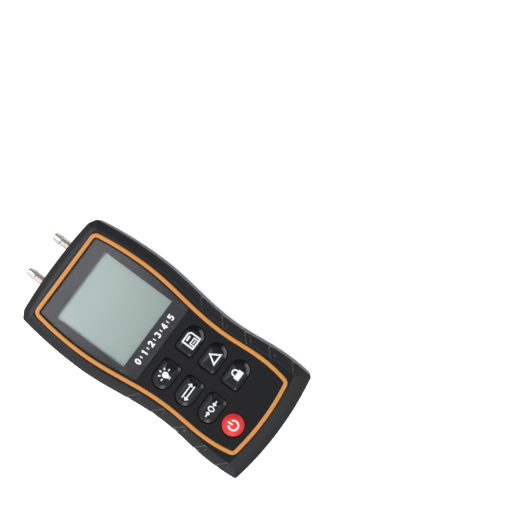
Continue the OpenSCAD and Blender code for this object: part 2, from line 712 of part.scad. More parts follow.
// Key: crowned cap through the face, flange behind it and stem down to the pill
module rubber_key(place) {
    crown_r = (pow(key_w / 2, 2) + pow(key_crown, 2)) / (2 * key_crown);
    color(rubber_color) {
        intersection() {
            key_prism(place, 0, flange_z - flange_t, face_z + key_rise + over);
            translate([place[0], place[1], face_z + key_rise - crown_r]) sphere(crown_r);
        }
        key_prism(place, flange_w, flange_z - flange_t, flange_z);
        key_prism(place, -stem_inset, pill_z + pill_t, flange_z);
    }
}
module power_key() {
    crown_r = (pow(power_d / 2, 2) + pow(key_crown, 2)) / (2 * key_crown);
    color(red) {
        intersection() {
            power_prism(0, flange_z - flange_t, face_z + key_rise + over);
            translate([-key_column_x, power_y, face_z + key_rise - crown_r]) sphere(crown_r);
        }
        power_prism(flange_w, flange_z - flange_t, flange_z);
        power_prism(-stem_inset, pill_z + pill_t, flange_z);
    }
}
module pill(place) { color("#101010") post(place[0], place[1], pill_z, pill_z + pill_t, pill_d); }

sensor_low_z = port_z - sensor_depth / 2;
module pressure_sensor() {
    color("#d8d4c8") {
        block(0, sensor_y, sensor_low_z, sensor_low_z + sensor_depth, sensor_w, sensor_len);
        for (x = [-1, 1]) difference() {
            rod(x * nozzle_spacing / 2, port_z, nozzle_y - over, nozzle_y + nozzle_len, nozzle_d);
            rod(x * nozzle_spacing / 2, port_z, nozzle_y, nozzle_y + nozzle_len + over, nozzle_d / 2);
        }
        for (x = [-1, 1], k = [0 : pin_count - 1])
            post(x * (sensor_w / 2 - pin_d), sensor_y + (k - (pin_count - 1) / 2) * sensor_len / 5,
                sensor_low_z + sensor_depth - over, board_back_z, pin_d);
    }
}

// Straight length of tube along Y, and a bend that turns by tube_turn about the local middle
module tube_straight(x, low, high, bore) {
    difference() {
        rod(x, port_z, low, high, tube_d);
        rod(x, port_z, low - over, high + over, bore);
    }
}
module tube_bend() {
    rotate_extrude(angle = tube_turn) translate([tube_bend_r, 0]) difference() {
        circle(d = tube_d);
        circle(d = nozzle_d);
    }
}
// Tube: wide on the spigot, two equal bends, narrow on the nozzle
module sensor_tube() {
    x = port_spacing / 2;
    color("#e6e4da") {
        tube_straight(x, bend_top_y, tube_top_y, spigot_d + slide_gap);
        translate([x - tube_bend_r, bend_top_y, port_z]) rotate([0, 0, -tube_turn]) tube_bend();
        translate([x - tube_shift + tube_bend_r, bend_low_y, port_z]) rotate([0, 0, 180 - tube_turn])
            tube_bend();
        tube_straight(x - tube_shift, nozzle_y + slide_gap, bend_low_y, nozzle_d + slide_gap);
    }
}
module positive_tube() { sensor_tube(); }
module negative_tube() { mirror([1, 0, 0]) sensor_tube(); }

// Port: hose cone and crest, neck in the wall, flange, and a spigot for the tube
land_y = port_tip_y - cone_len - land_len;
module hose_port() {
    color(nickel) translate([port_spacing / 2, 0, port_z]) difference() {
        union() {
            translate([0, port_tip_y, 0]) rotate([90, 0, 0]) cylinder(h = cone_len, d1 = tip_d, d2 = crest_d);
            rod(0, 0, land_y, land_y + land_len, crest_d);
            rod(0, 0, rib_y - cradle_t, land_y, neck_d);
            rod(0, 0, flange_y - port_flange_t, flange_y, port_flange_d);
            rod(0, 0, spigot_end_y, rib_y, spigot_d);
        }
        rod(0, 0, spigot_end_y - over, port_tip_y + over, bore_d);
    }
}
module positive_port() { hose_port(); }
module negative_port() { mirror([1, 0, 0]) hose_port(); }
module port_seals() {
    color("#151515") for (x = [-1, 1]) difference() {
        rod(x * port_spacing / 2, port_z, flange_y, end_wall_y, port_flange_d - 2 * seal_t);
        rod(x * port_spacing / 2, port_z, flange_y - over, end_wall_y + over, neck_d + 2 * slide_gap);
    }
}

// Door: a plate that ends in the case's own rounded bottom edge, with a tongue on each side
module battery_door() {
    door_low = bottom_y - over;
    mid = (door_low + door_top_y) / 2;
    color(case_color) difference() {
        intersection() {
            union() {
                block(0, mid, door_low_z, door_high_z, door_w, door_top_y - door_low);
                block(0, mid, tongue_z, tongue_z + tongue_t, door_w + 2 * tongue_w, door_top_y - door_low);
            }
            lofted(back_levels);
        }
        for (k = [0 : ridge_count - 1])
            block(0, door_top_y - ridge_margin - 2 * k * ridge_w, -over, door_low_z + ridge_h,
                door_w / 2, ridge_w);
    }
}

function cell_x(k) = (k - (cell_count - 1) / 2) * (cell_d + cell_gap);
// Cell along Y, its nub up or down
module cell(k, up) {
    if (k < cell_count) color("#8a8f96") translate([cell_x(k), bay_mid_y, cell_z])
        rotate([up ? -90 : 90, 0, 0]) {
            translate([0, 0, -cell_len / 2]) cylinder(h = cell_len - nub_len, d = cell_d);
            cylinder(h = cell_len / 2, d = nub_d);
        }
}
// Side of each cell that faces the nub, by turns
function spring_side(k) = k % 2 == 0 ? -1 : 1;
// Contact plate's width and height, and the spring's widest diameter
plate_w = 8;
plate_h = 7;
spring_d = 6;
module battery_springs() {
    gap = contact_room - plate_t;
    color("silver") for (k = [0 : cell_count - 1]) let (side = spring_side(k))
        translate([cell_x(k), bay_mid_y + side * (bay_len / 2 - plate_t), cell_z])
            rotate([side * 90, 0, 0]) cylinder(h = gap, d1 = spring_d, d2 = spring_d / 2);
}
module contact_plates() {
    color("silver") for (k = [0 : cell_count - 1], side = [-1, 1]) {
        y = bay_mid_y + side * (bay_len / 2 - plate_t / 2);
        block(cell_x(k), y, cell_z - plate_h / 2, cell_z + plate_h / 2, plate_w, plate_t);
        if (side != spring_side(k)) rod(cell_x(k), cell_z,
            side > 0 ? bay_mid_y + cell_len / 2 : bay_mid_y - bay_len / 2 + plate_t,
            side > 0 ? bay_mid_y + bay_len / 2 - plate_t : bay_mid_y - cell_len / 2, nub_d);
    }
}

// Leads from the outer plates through the bay's wall and up to the board
lead_d = 1.4;
lead_bend_r = 3;
lead_x = cell_x(cell_count - 1);
lead_z = cell_z + plate_h / 4;
module battery_lead() {
    bend_y = bay_top_y + bay_wall + lead_d;
    rod(lead_x, lead_z, bay_top_y, bend_y, lead_d);
    translate([lead_x, bend_y, lead_z + lead_bend_r]) rotate([90, 0, 90]) rotate([0, 0, -90])
        rotate_extrude(angle = 90) translate([lead_bend_r, 0]) circle(d = lead_d);
    post(lead_x, bend_y + lead_bend_r, lead_z + lead_bend_r, board_back_z, lead_d);
}
module battery_lead_red() { color("#c02a2a") battery_lead(); }
module battery_lead_black() { color("#151515") mirror([1, 0, 0]) battery_lead(); }

// Screws with their heads at the back
module screw(place, head_z, head_d, head_t, d, length) {
    post(place[0], place[1], head_z - head_t, head_z, head_d);
    post(place[0], place[1], head_z - over, head_z + length, d);
}
module case_screws() {
    color("#8d8f92") for (p = screw_places)
        screw(p, counterbore_depth, case_head_d, case_head_t, case_screw_d, case_screw_len);
}
module board_screws() {
    color("#b9bbbd") for (p = post_places)
        screw(p, board_back_z, board_head_d, board_head_t, board_screw_d, board_screw_len);
}
module rating_label() {
    color("#c9c9c6") block(0, top_y - label_from_top, slide_gap, slide_gap + label_t, label_w, label_h);
}

front_case();
rear_case();
trim_ring();
window_lens();
window_mask();
lcd_glass();
lcd_frame();
backlight_panel();
contact_strips();
main_board();
processor();
memory_chip();
amplifier_chip();
quartz_crystal();
capacitors();
buzzer();
keypad_mat();
rubber_key(key_places[0]);  // backlight_key
rubber_key(key_places[1]);  // save_key
rubber_key(key_places[2]);  // unit_key
rubber_key(key_places[3]);  // difference_key
rubber_key(key_places[4]);  // zero_key
rubber_key(key_places[5]);  // hold_key
power_key();
pill(key_places[0]);  // backlight_pill
pill(key_places[1]);  // save_pill
pill(key_places[2]);  // unit_pill
pill(key_places[3]);  // difference_pill
pill(key_places[4]);  // zero_pill
pill(key_places[5]);  // hold_pill
pill([-key_column_x, power_y]);  // power_pill
pressure_sensor();
positive_tube();
negative_tube();
positive_port();
negative_port();
port_seals();
battery_door();
cell(0, true);  // battery_left
cell(1, false);  // battery_middle
cell(2, true);  // battery_right
battery_springs();
contact_plates();
battery_lead_red();
battery_lead_black();
case_screws();
board_screws();
rating_label();
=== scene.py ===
"""Hand-held digital manometer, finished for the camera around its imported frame.

Sizes are in millimetres, in the frame's own axes: +Y to the ports, +Z out of the display side.
Meshes are handed to Blender in metres.
"""

import bmesh
import bpy
import numpy as np
from mathutils import Matrix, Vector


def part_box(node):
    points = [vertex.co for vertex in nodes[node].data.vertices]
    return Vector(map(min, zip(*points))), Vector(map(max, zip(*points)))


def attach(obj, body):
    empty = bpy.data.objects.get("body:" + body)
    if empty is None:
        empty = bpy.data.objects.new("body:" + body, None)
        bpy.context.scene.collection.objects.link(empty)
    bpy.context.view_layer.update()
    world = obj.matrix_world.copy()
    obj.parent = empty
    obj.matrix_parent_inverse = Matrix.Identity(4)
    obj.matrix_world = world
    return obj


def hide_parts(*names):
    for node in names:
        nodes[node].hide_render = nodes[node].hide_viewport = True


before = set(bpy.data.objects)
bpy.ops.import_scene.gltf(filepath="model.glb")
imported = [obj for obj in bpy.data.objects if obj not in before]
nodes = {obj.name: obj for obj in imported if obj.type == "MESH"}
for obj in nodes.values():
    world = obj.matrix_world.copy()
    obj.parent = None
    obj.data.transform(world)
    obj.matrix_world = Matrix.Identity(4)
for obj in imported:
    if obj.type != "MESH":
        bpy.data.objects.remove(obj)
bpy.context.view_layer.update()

MM = 0.001

# Front case
# The upper half of the housing, moulded in charcoal plastic. A chamfer and a sloping band run round its
# face, and five grip grooves with polished edges cross each long edge. The side wall has a coarser skin,
# and the face inside the trim ring has painted shade: a darker, less glossy copy of the plastic.

def corners(node):
    """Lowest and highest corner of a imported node, in millimetres."""
    return [np.array(corner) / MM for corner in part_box(node)]


case_low, case_high = corners("front_case")
top_y = case_high[1]
bottom_y = case_low[1]
parting_z = case_low[2]
face_z = case_high[2]
wall = 2.4
face_wall = 3
wall_draft = 0.35
chamfer_run = 2.75
chamfer_drop = 1.9
band_run = 3.1
band_drop = 0.8
band_curve = 1.7
wall_top_r = 0.4
seam_bevel = 0.35
slide_gap = 0.1
least_r = 0.2
# Half widths at the top end, the bulge, the waist, the hip and the bottom end, and the heights of these
body_halves = (34.7, case_high[0], 34.4, 37.3, 36)
body_stations = (top_y, top_y - 46, top_y - 101, top_y - 140, bottom_y)
bottom_crown = 3.5
top_crown = 1.5
bevel_run = 4.8
bevel_drop = 2.9
top_corner_r = 2.2
bevel_r = 6
bottom_corner_r = 2.2
# The crowned ends are sampled up to this share of their half width, where the corner begins
end_share = 0.78
end_steps = 20


def half_width(y, halves, stations):
    """Half width at height y: a parabola beyond the bulge and beyond the hip, half a cosine wave between."""
    top, bulge, waist, hip, bottom = halves
    top_at, bulge_at, waist_at, hip_at, bottom_at = stations
    down = (1 - np.cos(np.pi * (bulge_at - y) / (bulge_at - waist_at))) / 2
    out = (1 - np.cos(np.pi * (waist_at - y) / (waist_at - hip_at))) / 2
    return np.select(
        [y > bulge_at, y > waist_at, y > hip_at],
        [bulge - (bulge - top) * ((y - bulge_at) / (top_at - bulge_at)) ** 2,
         bulge + (waist - bulge) * down,
         waist + (hip - waist) * out],
        hip - (hip - bottom) * ((hip_at - y) / (hip_at - bottom_at)) ** 2)


def mirrored(right):
    """Closed outline from its right half: the left half is the same points back down."""
    return np.concatenate([right, right[-2:0:-1] * [-1, 1, 1]])


def marked(x, y, r=0):
    """Outline points (x, y, corner radius)."""
    return np.stack(np.broadcast_arrays(np.atleast_1d(x), y, r), -1).astype(float)


def inset_outline(points, distance):
    """Outline moved inward: each point goes along its mitre, and its corner radius shrinks as much."""
    place = points[:, :2]
    step = np.roll(place, -1, 0) - place
    side = np.stack([step[:, 1], -step[:, 0]], -1) / np.linalg.norm(step, axis=1, keepdims=True)
    before = np.roll(side, 1, 0)
    moved = place - distance * (before + side) / (1 + (before * side).sum(1, keepdims=True))
    radius = np.where(points[:, 2] > 0, np.maximum(points[:, 2] - distance, least_r), 0)
    return np.column_stack([moved, radius])


def corner_arc(before, corner, after, radius, steps):
    """Points of the arc that is tangent to both sides of a corner."""
    u = (before - corner) / np.linalg.norm(before - corner)
    v = (after - corner) / np.linalg.norm(after - corner)
    opening = np.arccos(u @ v)
    middle = corner + (u + v) / np.linalg.norm(u + v) * radius / np.sin(opening / 2)
    spoke = corner + u * radius / np.tan(opening / 2) - middle
    turn = np.linspace(0, np.pi - opening, steps + 1) * np.sign(u[1] * v[0] - u[0] * v[1])
    return middle + np.stack([spoke[0] * np.cos(turn) - spoke[1] * np.sin(turn),
                              spoke[0] * np.sin(turn) + spoke[1] * np.cos(turn)], -1)


def rounded(points, steps=8):
    """Outline with every marked corner turned into an arc of as many points at any inset."""
    parts = []
    start = 0
    for c in np.flatnonzero(points[:, 2]):
        parts.append(points[start:c, :2])
        after = points[(c + 1) % len(points), :2]
        parts.append(corner_arc(points[c - 1, :2], points[c, :2], after, points[c, 2], steps))
        start = c + 1
    return np.concatenate(parts + [points[start:, :2]])


def body_points(side_y):
    """Corner points of the case's outline, with the long sides sampled at the heights side_y."""
    corner_y = bottom_y + bottom_crown
    bevel_y = top_y - top_crown - bevel_drop
    bevel_x = half_width(bevel_y, body_halves, body_stations) - bevel_run
    share = np.linspace(0, end_share, end_steps)
    return mirrored(np.concatenate([
        marked(body_halves[4] * share, bottom_y + bottom_crown * share ** 2),
        marked(half_width(corner_y, body_halves, body_stations), corner_y, bottom_corner_r),
        marked(half_width(side_y, body_halves, body_stations), side_y),
        marked(bevel_x + bevel_run, bevel_y, top_corner_r),
        marked(bevel_x, bevel_y + bevel_drop, bevel_r),
        marked(bevel_x * share[::-1], top_y - top_crown * share[::-1] ** 2)]))


def body_outline(points, inset):
    """The case's rounded outline at an inset."""
    return rounded(inset_outline(points, inset))


def loft(rings, loop=False):
    """Points and faces through rings of points: a quad joins two neighbours of a ring with the same two of
    the next. With loop the last ring joins the first, and otherwise both end rings are closed flat."""
    rings = np.asarray(rings)
    rows, columns = rings.shape[:2]
    row, column = np.meshgrid(np.arange(rows - (not loop)), np.arange(columns), indexing="ij")
    a = row * columns + column
    b = row * columns + (column + 1) % columns
    up = (row + 1) % rows * columns - row * columns
    faces = np.stack([a, b, b + up, a + up], -1).reshape(-1, 4).tolist()
    if not loop:
        last = np.arange(columns) + (rows - 1) * columns
        faces += [np.arange(columns)[::-1].tolist(), last.tolist()]
    return rings.reshape(-1, 3), faces


def at_height(outline, z):
    """A flat outline as a ring of points at a height."""
    return np.column_stack([outline, np.full(len(outline), float(z))])


def make_piece(name, shells, material=None):
    """Object from one shell or several, each of points in millimetres and faces, turned outward."""
    shells = [shells] if isinstance(shells, tuple) else shells
    starts = np.cumsum([0] + [len(points) for points, faces in shells])
    faces = [[i + start for i in face] for (points, own), start in zip(shells, starts) for face in own]
    mesh = bpy.data.meshes.new(name)
    mesh.from_pydata((np.concatenate([points for points, own in shells]) * MM).tolist(), [], faces)
    shell = bmesh.new()
    shell.from_mesh(mesh)
    bmesh.ops.recalc_face_normals(shell, faces=shell.faces)
    shell.to_mesh(mesh)
    shell.free()
    thing = bpy.data.objects.new(name, mesh)
    bpy.context.scene.collection.objects.link(thing)
    if material:
        mesh.materials.append(material)
    return thing


def settle(thing):
    """The modifiers' result becomes the object's own mesh."""
    graph = bpy.context.evaluated_depsgraph_get()
    mesh = bpy.data.meshes.new_from_object(thing.evaluated_get(graph))
    thing.modifiers.clear()
    thing.data = mesh


def machine(thing, shells, operation="DIFFERENCE"):
    """Cuts the shells out of an object, or joins them to it, by one exact Boolean."""
    bag = bpy.data.collections.new("tools")
    bpy.context.scene.collection.children.link(bag)
    tools = [make_piece("tool", shell) for shell in shells]
    for tool in tools:
        bpy.context.scene.collection.objects.unlink(tool)
        bag.objects.link(tool)
    cut = thing.modifiers.new("cut", "BOOLEAN")
    cut.operation = operation
    cut.solver = "EXACT"
    cut.operand_type = "COLLECTION"
    cut.collection = bag
    settle(thing)
    for tool in tools:
        bpy.data.objects.remove(tool)
    bpy.data.collections.remove(bag)


def soften(thing, angle=32):
    """Smooth shading that stops at edges sharper than the angle and lies flat on the large faces."""
    thing.data.shade_smooth()
    thing.data.set_sharp_from_angle(angle=np.radians(angle))
    weigh = thing.modifiers.new("weigh", "WEIGHTED_NORMAL")
    weigh.keep_sharp = True


def eased(share):
    """Smooth step: three times the square less twice the cube of a share that is held between 0 and 1."""
    share = np.clip(share, 0, 1)
    return share * share * (3 - 2 * share)


def lip(near, far, top, drop, steps=5):
    """Growth and height of a rounded lip: a quarter ellipse from an upright wall out to a flat face."""
    turn = np.linspace(0, np.pi / 2, steps)
    return np.column_stack([near + (far - near) * (1 - np.cos(turn)), top - drop * (1 - np.sin(turn))])


# Grooves: a slot up the wall, then slanting over the chamfer and the band
groove_count = 5
groove_pitch = 15.8
first_groove = 79.5
groove_mouths = top_y - first_groove - groove_pitch * np.arange(groove_count)
groove_w = 1.62
groove_floor = 0.95
groove_depth = 0.55
groove_wall_depth = 0.14
groove_low_z = 23
groove_tip = (-3.6, 4.6)
groove_turn = (-0.8, 0.9)
fine_step = 0.22
wall_step = 0.6
side_step = 1.3
fine_reach = (-6.2, 2.6)
low_corner_reach = 7.3
top_corner_reach = 6
side_low = bottom_y + bottom_crown + low_corner_reach
side_top = top_y - top_crown - bevel_drop - top_corner_reach
fine_y = np.concatenate([mouth + np.arange(*fine_reach, fine_step) for mouth in groove_mouths])
fine_y = fine_y[fine_y > side_low]
coarse_y = np.arange(side_low, side_top, side_step)
side_y = np.sort(np.concatenate([
    fine_y, coarse_y[np.abs(coarse_y[:, None] - fine_y).min(axis=1) > wall_step]]))
case_points = body_points(side_y)
skin = rounded(marked(
    [wall, wall, seam_bevel, 0, wall_draft, wall_draft + chamfer_run],
    [face_z - face_wall, parting_z, parting_z, parting_z + seam_bevel, face_z - band_drop - chamfer_drop,
     face_z - band_drop],
    [0, 0, 0, 0, wall_top_r, 0]), steps=6)
band_steps = 9
band_share = np.linspace(0, 1, band_steps)[1:]
skin = np.concatenate([skin, np.column_stack([
    wall_draft + chamfer_run + band_run * band_share, face_z - band_drop * (1 - band_share) ** band_curve])])
skin_t = np.concatenate([[0], np.cumsum(np.linalg.norm(np.diff(skin, axis=0), axis=1))])
seam_t = skin_t[3]
wall_top_t = seam_t + face_z - band_drop - chamfer_drop - parting_z
plain_strip = 4
fine_below = 1.6
level_t = np.concatenate([skin_t[:3], np.linspace(seam_t, seam_t + plain_strip, 4)[:-1],
                          np.arange(seam_t + plain_strip, wall_top_t - fine_below, wall_step),
                          np.arange(wall_top_t - fine_below, skin_t[-1] - fine_step / 2, fine_step),
                          skin_t[-1:]])
level_inset = np.interp(level_t, skin_t, skin[:, 0])
level_z = np.interp(level_t, skin_t, skin[:, 1])


def groove_depth_at(y, t):
    """Depth of the grooves at height y and distance t up the skin: it falls off smoothly with the distance
    to the nearest slot, whose middle line runs up the wall and then slants to its tip."""
    deepest = np.zeros(np.broadcast(y, t).shape)
    for mouth in groove_mouths:
        lines = (((mouth, seam_t + groove_low_z - parting_z), (mouth, wall_top_t)),
                 ((mouth, wall_top_t), (mouth + groove_tip[0], wall_top_t + groove_tip[1])))
        for (y0, t0), (y1, t1) in lines:
            along = ((y - y0) * (y1 - y0) + (t - t0) * (t1 - t0)) / ((y1 - y0) ** 2 + (t1 - t0) ** 2)
            along = np.clip(along, 0, 1)
            away = np.hypot(y - y0 - along * (y1 - y0), t - t0 - along * (t1 - t0))
            deepest = np.maximum(deepest, 1 - eased((away - groove_floor) / (groove_w - groove_floor)))
    turn_t = (wall_top_t + groove_turn[0], wall_top_t + groove_turn[1])
    return deepest * np.interp(t, turn_t, (groove_wall_depth, groove_depth))


rim = body_outline(case_points, 0)
along_rim = np.roll(rim, -1, 0) - np.roll(rim, 1, 0)
rim_out = np.stack([along_rim[:, 1], -along_rim[:, 0]], -1) / np.linalg.norm(along_rim, axis=1)[:, None]
depth = groove_depth_at(rim[None, :, 1], level_t[:, None])
slope = np.gradient(np.column_stack([level_inset, level_z]), level_t, axis=0)
slope /= np.linalg.norm(slope, axis=1)[:, None]
rings = np.stack([at_height(body_outline(case_points, inset), z) for inset, z in zip(level_inset, level_z)])
rings[..., :2] -= depth[..., None] * slope[:, 1, None, None] * rim_out
rings[..., 2] -= depth * slope[:, 0, None]

# At the low end the band is wider and falls further: it starts right at the trim ring
low_end_reach = 3.3
low_end_drop = 0.7
low_end_curve = 1.15
low_end_start = 0.3
low_end_span = (5, 10.8)
band_part = np.clip((level_inset - wall_draft - chamfer_run) / band_run, 0, 1)
lowered = np.where(
    band_part > 0, (1 - band_part) ** low_end_curve,
    np.interp(level_inset, (wall_draft + low_end_start, wall_draft + chamfer_run), (0, 1)))
lowered[level_z < face_z - band_drop - chamfer_drop] = 0
at_low_end = eased((bottom_y + low_end_span[1] - rim[:, 1]) / (low_end_span[1] - low_end_span[0]))
rings[..., 1] += low_end_reach * band_part[:, None] * at_low_end
rings[..., 2] -= low_end_drop * lowered[:, None] * at_low_end

# Trim ring's outline, which its groove in the face and the window follow too: half widths and heights as
# for the case
ring_halves = (28.8, 31.95, 27.25, 28.7, 25.6)
ring_stations = (top_y - 7.3, top_y - 42, top_y - 98, top_y - 126, bottom_y + 10)
ring_crown = 2.3
ring_corner_r = 4.2
ring_corner_reach = 5.5
ring_corner_steps = 12
ring_side_step = 1.4
ring_end_share = 0.8
ring_end_steps = 16
ring_w = 2.4
ring_depth = 1.3
ring_proud = 0.25
lens_rim = 0.5
lens_inset = ring_w + slide_gap + lens_rim
window_edge_y = top_y - 77.2


def ring_points(low=None):
    """Corner points of the ring's outline, or of its part above a straight lower edge."""
    corner_y = ring_stations[4] + ring_crown if low is None else low
    side = np.arange(corner_y + ring_corner_reach, ring_stations[0] - ring_corner_reach, ring_side_step)
    share = np.linspace(0, ring_end_share, ring_end_steps)
    if low is None:
        bottom = marked(ring_halves[4] * share, ring_stations[4] + ring_crown * share ** 2)
    else:
        bottom = marked(0, low)
    return mirrored(np.concatenate([
        bottom,
        marked(half_width(corner_y, ring_halves, ring_stations), corner_y,
               ring_corner_r if low is None else least_r + lens_inset),
        marked(half_width(side, ring_halves, ring_stations), side),
        marked(ring_halves[0], ring_stations[0], ring_corner_r),
        marked(0, ring_stations[0])]))


def ring_outline(inset):
    """The ring's outline at an inset."""
    return rounded(inset_outline(ring_points(), inset), ring_corner_steps)


def window_outline(inset):
    """The window's outline, in from the ring's outer edge and up from the window's lower edge."""
    return rounded(inset_outline(ring_points(window_edge_y - lens_inset), inset), ring_corner_steps)


# Key outlines: one end round, the other squared with small corners, mirrored in the right column
key_w = 16.9
key_h = 11.5
key_corner_r = 2.2
key_corner_steps = 16
key_end_flat = 0.05
key_gap = 0.35
dish_w = 1
dish_drop = 0.5
power_d = 13
power_steps = 72
key_names = ("backlight", "save", "unit", "difference", "zero", "hold", "power")
key_places = {name: sum(corners(name + "_key"))[:2] / 2 for name in key_names}


def round_points(steps):
    """Points (cosine, sine) of the unit circle at even turns."""
    turn = np.linspace(0, 2 * np.pi, steps, endpoint=False)
    return np.stack([np.cos(turn), np.sin(turn)], -1)


def key_outline(name, inset):
    """A key's outline at an inset, round its place."""
    if name == "power":
        return key_places[name] + (power_d / 2 - inset) * round_points(power_steps)
    end_r = key_h / 2 - key_end_flat
    box = marked(np.array([-1, 1, 1, -1]) * key_w / 2, np.array([-1, -1, 1, 1]) * key_h / 2,
                 [end_r, key_corner_r, key_corner_r, end_r])
    outline = rounded(inset_outline(box, inset), key_corner_steps)
    if key_places[name][0] > 0:
        outline = (outline * [-1, 1])[::-1]
    return key_places[name] + outline


def rectangle(low, high):
    """The four corners of a rectangle between two of them."""
    return np.array([[low[0], low[1]], [high[0], low[1]], [high[0], high[1]], [low[0], high[1]]])


def box_shell(low, high):
    """Shell of a box between two corners."""
    base = rectangle(low, high)
    return loft([at_height(base, low[2]), at_height(base, high[2])])


def turned(profile, centre, axis, steps=48):
    """Surface of revolution: each profile point (radius, height) goes round an axis through the centre."""
    circle = round_points(steps)
    profile = np.asarray(profile, float)
    across = profile[:, :1] * circle[:, 0]
    back = profile[:, :1] * circle[:, 1]
    height = np.broadcast_to(profile[:, 1:2], across.shape)
    order = {"y": (back, height, across), "z": (across, back, height)}[axis]
    return np.stack(order, -1) + centre


def rod(radius, start, end, centre, axis, steps=48):
    """Shell of a round rod or bore along an axis."""
    return loft(turned([(radius, start), (radius, end)], centre, axis, steps))


view_half = (23.2, 23.6)
view_y = top_y - 42.8
view_margin = 1
overrun = 1
cut_over = 0.01
cut_low_z = face_z - face_wall - overrun
cut_top_z = face_z + cut_over
ring_base_z = face_z - ring_depth
ring_lip = 0.12
ring_lip_drop = 0.25
ring_slot = np.concatenate([
    [[-slide_gap, ring_base_z], [ring_w + slide_gap, ring_base_z]],
    lip(ring_w + slide_gap, ring_w + slide_gap + ring_lip, cut_top_z, ring_lip_drop),
    [[ring_w + slide_gap + ring_lip, face_z + overrun], [-slide_gap - ring_lip, face_z + overrun]],
    (lip(slide_gap, slide_gap + ring_lip, cut_top_z, ring_lip_drop) * [-1, 1])[::-1]])
seat_gap = 0.02
seat_z = corners("window_mask")[0][2] - seat_gap
window_lip = 0.1
window_lip_drop = 0.15
port_x = 12.5
port_z = parting_z
port_hole_len = 5
neck_r = 2.5
tools = [loft([at_height(ring_outline(inset), z) for inset, z in ring_slot], loop=True),
         loft([at_height(window_outline(lens_inset), seat_z),
               at_height(window_outline(lens_inset), face_z - window_lip_drop),
               at_height(window_outline(lens_inset - window_lip), cut_top_z),
               at_height(window_outline(lens_inset - window_lip), face_z + overrun)]),
         box_shell((-view_half[0] - view_margin, view_y - view_half[1] - view_margin, cut_low_z),
                   (view_half[0] + view_margin, view_y + view_half[1] + view_margin, face_z))]
for name in key_places:
    mouth = lip(key_gap, dish_w, cut_top_z, dish_drop)
    mouth = np.concatenate([[[key_gap, cut_low_z]], mouth, [[dish_w, face_z + overrun]]])
    tools.append(loft([at_height(key_outline(name, -grow), z) for grow, z in mouth]))
port_holes = [rod(neck_r + slide_gap, top_y - port_hole_len, top_y + overrun, (x, 0, port_z), "y")
              for x in (-port_x, port_x)]
tools += port_holes


def grain_group():
    """Node group for a moulded skin: a fine grain and a broad, slow drift, both worked out from a place."""
    group = bpy.data.node_groups.new("moulded_skin", "ShaderNodeTree")
    for socket, kind in (("Place", "NodeSocketVector"), ("Grain Scale", "NodeSocketFloat"),
                         ("Drift Scale", "NodeSocketFloat")):
        group.interface.new_socket(socket, in_out="INPUT", socket_type=kind)
    for socket in ("Grain", "Drift"):
        group.interface.new_socket(socket, in_out="OUTPUT", socket_type="NodeSocketFloat")
    enter = group.nodes.new("NodeGroupInput")
    leave = group.nodes.new("NodeGroupOutput")
    for source, target, detail in (("Grain Scale", "Grain", 3), ("Drift Scale", "Drift", 2)):
        noise = group.nodes.new("ShaderNodeTexNoise")
        noise.inputs["Detail"].default_value = detail
        group.links.new(enter.outputs["Place"], noise.inputs["Vector"])
        group.links.new(enter.outputs[source], noise.inputs["Scale"])
        group.links.new(noise.outputs["Fac"], leave.inputs[target])
    return group


moulded_skin = grain_group()


def linear(*levels):
    """Colour for a shader from the 0 to 255 levels that it should show."""
    share = np.array(levels, float) / 255
    return (*np.where(share > 0.04045, ((share + 0.055) / 1.055) ** 2.4, share / 12.92), 1)


relief_depth = 0.1


def moulded(name, levels, roughness, grain=2600, bump=0.1, drift=45, contrast=0.12, rough_spread=0.08,
            specular=0.5):
    """Moulded material: its colour and roughness drift slowly, and its skin has a fine grain."""
    material = bpy.data.materials.new(name)
    material.use_nodes = True
    tree = material.node_tree
    shader = tree.nodes["Principled BSDF"]
    shader.inputs["Specular IOR Level"].default_value = specular
    place = tree.nodes.new("ShaderNodeTexCoord")
    skin_node = tree.nodes.new("ShaderNodeGroup")
    skin_node.node_tree = moulded_skin
    skin_node.inputs["Grain Scale"].default_value = grain
    skin_node.inputs["Drift Scale"].default_value = drift
    tree.links.new(place.outputs["Object"], skin_node.inputs["Place"])
    tint = tree.nodes.new("ShaderNodeMix")
    tint.data_type = "RGBA"
    color = np.array(linear(*levels))
    tint.inputs["A"].default_value = (*(color[:3] * (1 - contrast)), 1)
    tint.inputs["B"].default_value = (*np.minimum(color[:3] * (1 + contrast), 1), 1)
    tree.links.new(skin_node.outputs["Drift"], tint.inputs["Factor"])
    tree.links.new(tint.outputs["Result"], shader.inputs["Base Color"])
    gloss = tree.nodes.new("ShaderNodeMapRange")
    gloss.inputs["To Min"].default_value = roughness - rough_spread
    gloss.inputs["To Max"].default_value = roughness + rough_spread
    tree.links.new(skin_node.outputs["Grain"], gloss.inputs["Value"])
    tree.links.new(gloss.outputs["Result"], shader.inputs["Roughness"])
    relief = tree.nodes.new("ShaderNodeBump")
    relief.inputs["Strength"].default_value = bump
    relief.inputs["Distance"].default_value = relief_depth * MM
    tree.links.new(skin_node.outputs["Grain"], relief.inputs["Height"])
    tree.links.new(relief.outputs["Normal"], shader.inputs["Normal"])
    return material


case_plastic = moulded("charcoal_plastic", (29, 29, 32), 0.47, bump=0.22, specular=0.33)
side_skin = moulded("coarse_side_skin", (37, 37, 39), 0.62, grain=1500, bump=0.35, rough_spread=0.05)
groove_skin = moulded("polished_groove_edge", (33, 33, 36), 0.2, grain=1500, bump=0.03, rough_spread=0.03,
                      specular=0.9)
# Painted shade: the face inside the trim ring gets a darker copy of the case plastic
painted_shade_face = moulded("painted_shade_face", (20, 20, 23), 0.5, grain=1900, bump=0.05, contrast=0.05, specular=0.17)


def face_rows(thing):
    """Middle and normal of every face, a row each, in millimetres."""
    rows = []
    for what, unit in (("center", MM), ("normal", 1)):
        row = np.empty(3 * len(thing.data.polygons))
        thing.data.polygons.foreach_get(what, row)
        rows.append(row.reshape(-1, 3) / unit)
    return rows


